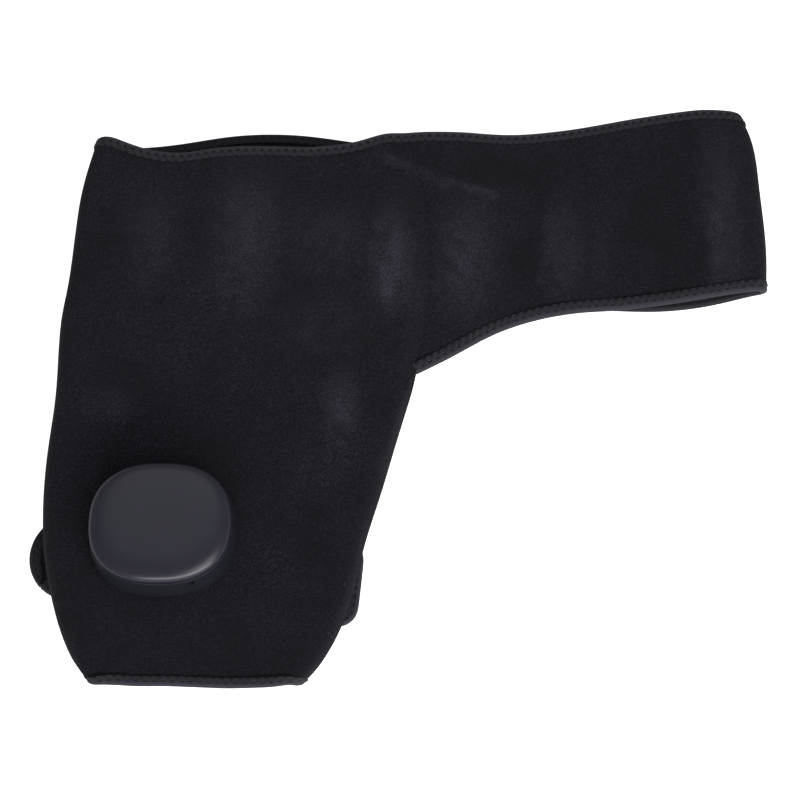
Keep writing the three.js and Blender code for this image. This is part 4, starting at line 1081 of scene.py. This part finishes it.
cable_sheath, tree = new_finish("silicone_wire_sheath")
place = add_node(tree, "ShaderNodeTexCoord").outputs["Object"]
wires = add_node(
    tree, "ShaderNodeTexWave", {"Vector": place, "Scale": wave_length / wire_spacing, "Distortion": 0.5},
    bands_direction="DIAGONAL",
).outputs["Fac"]
colour = add_node(
    tree, "ShaderNodeMix", {"Factor": wires, 6: linear("161618"), 7: linear("2c2c2f")}, data_type="RGBA"
).outputs[2]
relief = add_node(tree, "ShaderNodeBump", {"Strength": 0.6, "Distance": 0.0004, "Height": wires})
shader = add_node(
    tree, "ShaderNodeBsdfPrincipled", {"Base Color": colour, "Roughness": 0.6, "Normal": relief.outputs[0]}
)
add_node(tree, "ShaderNodeOutputMaterial", {"Surface": shader.outputs[0]})

harness = cut_cloth("wire_harness", "wire_ribbon", levels=1)
dress(harness, cable_sheath, "wrap", "wire_harness")

# Inner lining: smooth knit sewn inside the front of the panel. It keeps the modules and the heater in place
# and is what the shoulder touches.
lining = cut_cloth("inner_lining", "shoulder_lining", levels=2)
dress(lining, jersey_knit, "wrap", "inner_lining")

# Control pod base: a moulded tub, a rounded square in plan, with a mouth for the charging plug. It is clamped
# through the cloth by a plate and four screws from the inner side. The plastic is satin and blue black, with
# a fine grain drawn 0.4 mm wide to show.
pod_sides = 24
pod_roundness = 0.56
pod_length = 39.2 * millimetre
pod_width = 34.7 * millimetre
foot_flare = 2.2 * millimetre
top_overhang = 0.1 * millimetre
foot_radius = 1.8 * millimetre
tub_height = 17.5 * millimetre
tub_wall = 1.5 * millimetre
tub_floor = 2.0 * millimetre
lip_radius = 0.2 * millimetre
arc_steps = 5
# Rings of the tub's wall, as shares of its height above the foot
wall_shares = (0.25, 0.5, 0.75, 0.93)
post_sides = 32
mouth_radius = 2.2 * millimetre
mouth_place = 17.5 * millimetre
mouth_height = 13.8 * millimetre
# Screw bosses: places from the pod's middle, in millimetres
boss_places = [(25, 18), (-25, 18), (-25, -18), (25, -18)]
boss_radius = 3.5 * millimetre
boss_height = 10.9 * millimetre

satin_base = flecked(
    "satin_moulded_pod_base", "13151c", "181a22", flecks=(0.012, 3), grain=(0.0004, 1), strength=0.15,
    depth=0.0001, rough=0.45,
)


def grow_rings(name, rings):
    """A closed body drawn out ring by ring, each a rounded square: half length, half width and height."""
    bpy.ops.object.select_all(action="DESELECT")
    half_length, half_width, height = rings[0]
    bpy.ops.mesh.primitive_plane_add(size=2, location=(pod_middle.x, pod_middle.y, pod_low.z + height))
    piece = bpy.context.object
    piece.name = name
    bpy.ops.object.mode_set(mode="EDIT")
    bpy.ops.transform.resize(value=(half_length, half_width, 1))
    bpy.ops.mesh.bevel(
        offset_type="PERCENT", offset_pct=50, affect="VERTICES", segments=pod_sides, profile=pod_roundness
    )
    bpy.ops.mesh.select_all(action="SELECT")
    bpy.ops.mesh.remove_doubles(threshold=weld_distance)
    bpy.ops.mesh.select_all(action="SELECT")
    for next_length, next_width, next_height in rings[1:]:
        bpy.ops.mesh.extrude_region_move(TRANSFORM_OT_translate={"value": (0, 0, next_height - height)})
        bpy.ops.transform.resize(value=(next_length / half_length, next_width / half_width, 1))
        half_length, half_width, height = next_length, next_width, next_height
    bpy.ops.mesh.select_all(action="SELECT")
    bpy.ops.mesh.normals_make_consistent(inside=False)
    bpy.ops.object.mode_set(mode="OBJECT")
    bpy.ops.object.transform_apply(location=True, rotation=True, scale=True)
    return piece


def inset_ring(inset, height):
    return (pod_length - inset, pod_width - inset, height)


def arc(inset, height, radius, start, end):
    """Rings round a quarter turn, from one angle to another about a centre."""
    angles = [math.radians(start + (end - start) * step / arc_steps) for step in range(arc_steps + 1)]
    return [inset_ring(inset - radius * math.cos(a), height + radius * math.sin(a)) for a in angles]


def post(x, y, low, high, radius):
    bpy.ops.object.select_all(action="DESELECT")
    bpy.ops.mesh.primitive_cylinder_add(
        vertices=post_sides, radius=radius, depth=high - low,
        location=(pod_middle.x + x, pod_middle.y + y, pod_low.z + (low + high) / 2),
    )
    return bpy.context.object


def join_to(piece, parts):
    pick(piece)
    for part in parts:
        part.select_set(True)
    bpy.ops.object.join()
    bpy.ops.object.transform_apply(location=True, rotation=True, scale=True)


tub_rings = arc(foot_radius - foot_flare, foot_radius, foot_radius, -90, 0)
for share in wall_shares:
    inset = -foot_flare + (foot_flare - top_overhang) * share
    tub_rings += [inset_ring(inset, foot_radius + (tub_height - foot_radius) * share)]
tub_rings += arc(lip_radius - top_overhang, tub_height - lip_radius, lip_radius, 0, 90)
tub_rings += [inset_ring(tub_wall - top_overhang, tub_height), inset_ring(tub_wall - top_overhang, tub_floor)]
pod_base = grow_rings("pod_tub", tub_rings)
bosses = [
    post(x * millimetre, y * millimetre, tub_floor / 2, boss_height, boss_radius) for x, y in boss_places
]
mouth = post(mouth_place, 0, -pod_width / 2, pod_width / 2, mouth_radius)
mouth.rotation_euler = (math.pi / 2, 0, 0)
mouth.location.y = pod_middle.y - pod_width
mouth.location.z = pod_low.z + mouth_height
finish_with(pod_base, "BOOLEAN", operation="DIFFERENCE", solver="EXACT", object=mouth)
bpy.data.objects.remove(mouth)
join_to(pod_base, bosses)
smooth(pod_base, angle=35)
dress(pod_base, satin_base, "wrap", "pod_base")
paint(["clamp_plate"], moulded_nylon)
paint(["clamp_screw_" + number for number in ("1", "2", "3", "4")], turned_steel)

# Inside the pod: a cell wrapped in crinkled silver foil lies under a circuit board, which carries the key
# switch and the charging jack. The board is glossy green, and its copper tracks show paler through the mask.
board_track_spacing = 4 * millimetre

board_resin, tree = new_finish("solder_masked_board")
place = add_node(tree, "ShaderNodeTexCoord").outputs["Object"]
tracks = add_node(tree, "ShaderNodeTexBrick", {
    "Vector": place, "Scale": 1 / board_track_spacing, "Color1": linear("0c4a2a"), "Color2": linear("10552f"),
    "Mortar": linear("1d6b3f"), "Mortar Size": 0.03,
}).outputs["Color"]
shader = add_node(tree, "ShaderNodeBsdfPrincipled", {"Base Color": tracks, "Roughness": 0.35})
add_node(tree, "ShaderNodeOutputMaterial", {"Surface": shader.outputs[0]})
paint(["circuit_board"], board_resin)

cell_wrap = flecked(
    "laminated_cell_foil", "8f949a", "a9aeb4", flecks=(0.004, 3), grain=(0.004, 3), strength=0.5,
    depth=0.0003, rough=0.35, metallic=0.9,
)
paint(["battery"], cell_wrap)
paint(["switch_body", "switch_plunger", "charging_jack"], moulded_nylon)

# Press cap: the whole pod top is one key. A thin moulded shell with a soft dome, it slides on a skirt inside
# the tub and presses the switch through a boss. Satin plastic with a rim that catches the light.
cap_low = 18.4 * millimetre
cap_side_top = 19.1 * millimetre
cap_top = 25.2 * millimetre
cap_squareness = 8
cap_wall = 1.8 * millimetre
skirt_inset = 2.0 * millimetre
skirt_thickness = 1.4 * millimetre
skirt_low = 14.0 * millimetre
# Rings of the cap's top, as shares of its half width: close together over the rim, wider over the dome
rim_shares = [1, 0.9985, 0.995, 0.989, 0.981, 0.971, 0.959, 0.945, 0.928, 0.908, 0.885]
dome_shares = [0.86, 0.83, 0.79, 0.74, 0.67, 0.58, 0.46, 0.32, 0.14]
press_boss_low = 18.5 * millimetre
press_boss_radius = 2.5 * millimetre

satin_cap = flecked(
    "satin_moulded_cap", "1e1d29", "23222f", flecks=(0.018, 3), grain=(0.0004, 1), strength=0.12,
    depth=0.0001, rough=0.32,
)


def dome_ring(share, wall=0):
    """Ring of the cap's pillow form at a share of its half width: flat in the middle, upright at the rim."""
    rise = (cap_top - cap_side_top) * math.sqrt(1 - share ** cap_squareness)
    return (pod_length * share, pod_width * share, cap_side_top + rise - wall)


skirt_inner = skirt_inset + skirt_thickness
cap_rings = [dome_ring(share, cap_wall) for share in dome_shares[::-1]]
cap_rings += [
    inset_ring(skirt_inner, cap_side_top),
    inset_ring(skirt_inner, skirt_low),
    inset_ring(skirt_inset, skirt_low),
    inset_ring(skirt_inset, cap_low),
]
cap_rings += arc(lip_radius, cap_low + lip_radius, lip_radius, -90, 0)
cap_rings += [dome_ring(share) for share in rim_shares + dome_shares]
press_cap = grow_rings("pod_press_cap", cap_rings)
press_boss = post(0, 0, press_boss_low, cap_top - cap_wall / 2, press_boss_radius)
join_to(press_cap, [press_boss])
smooth(press_cap, angle=35)
dress(press_cap, satin_cap, "press_face", "press_cap")
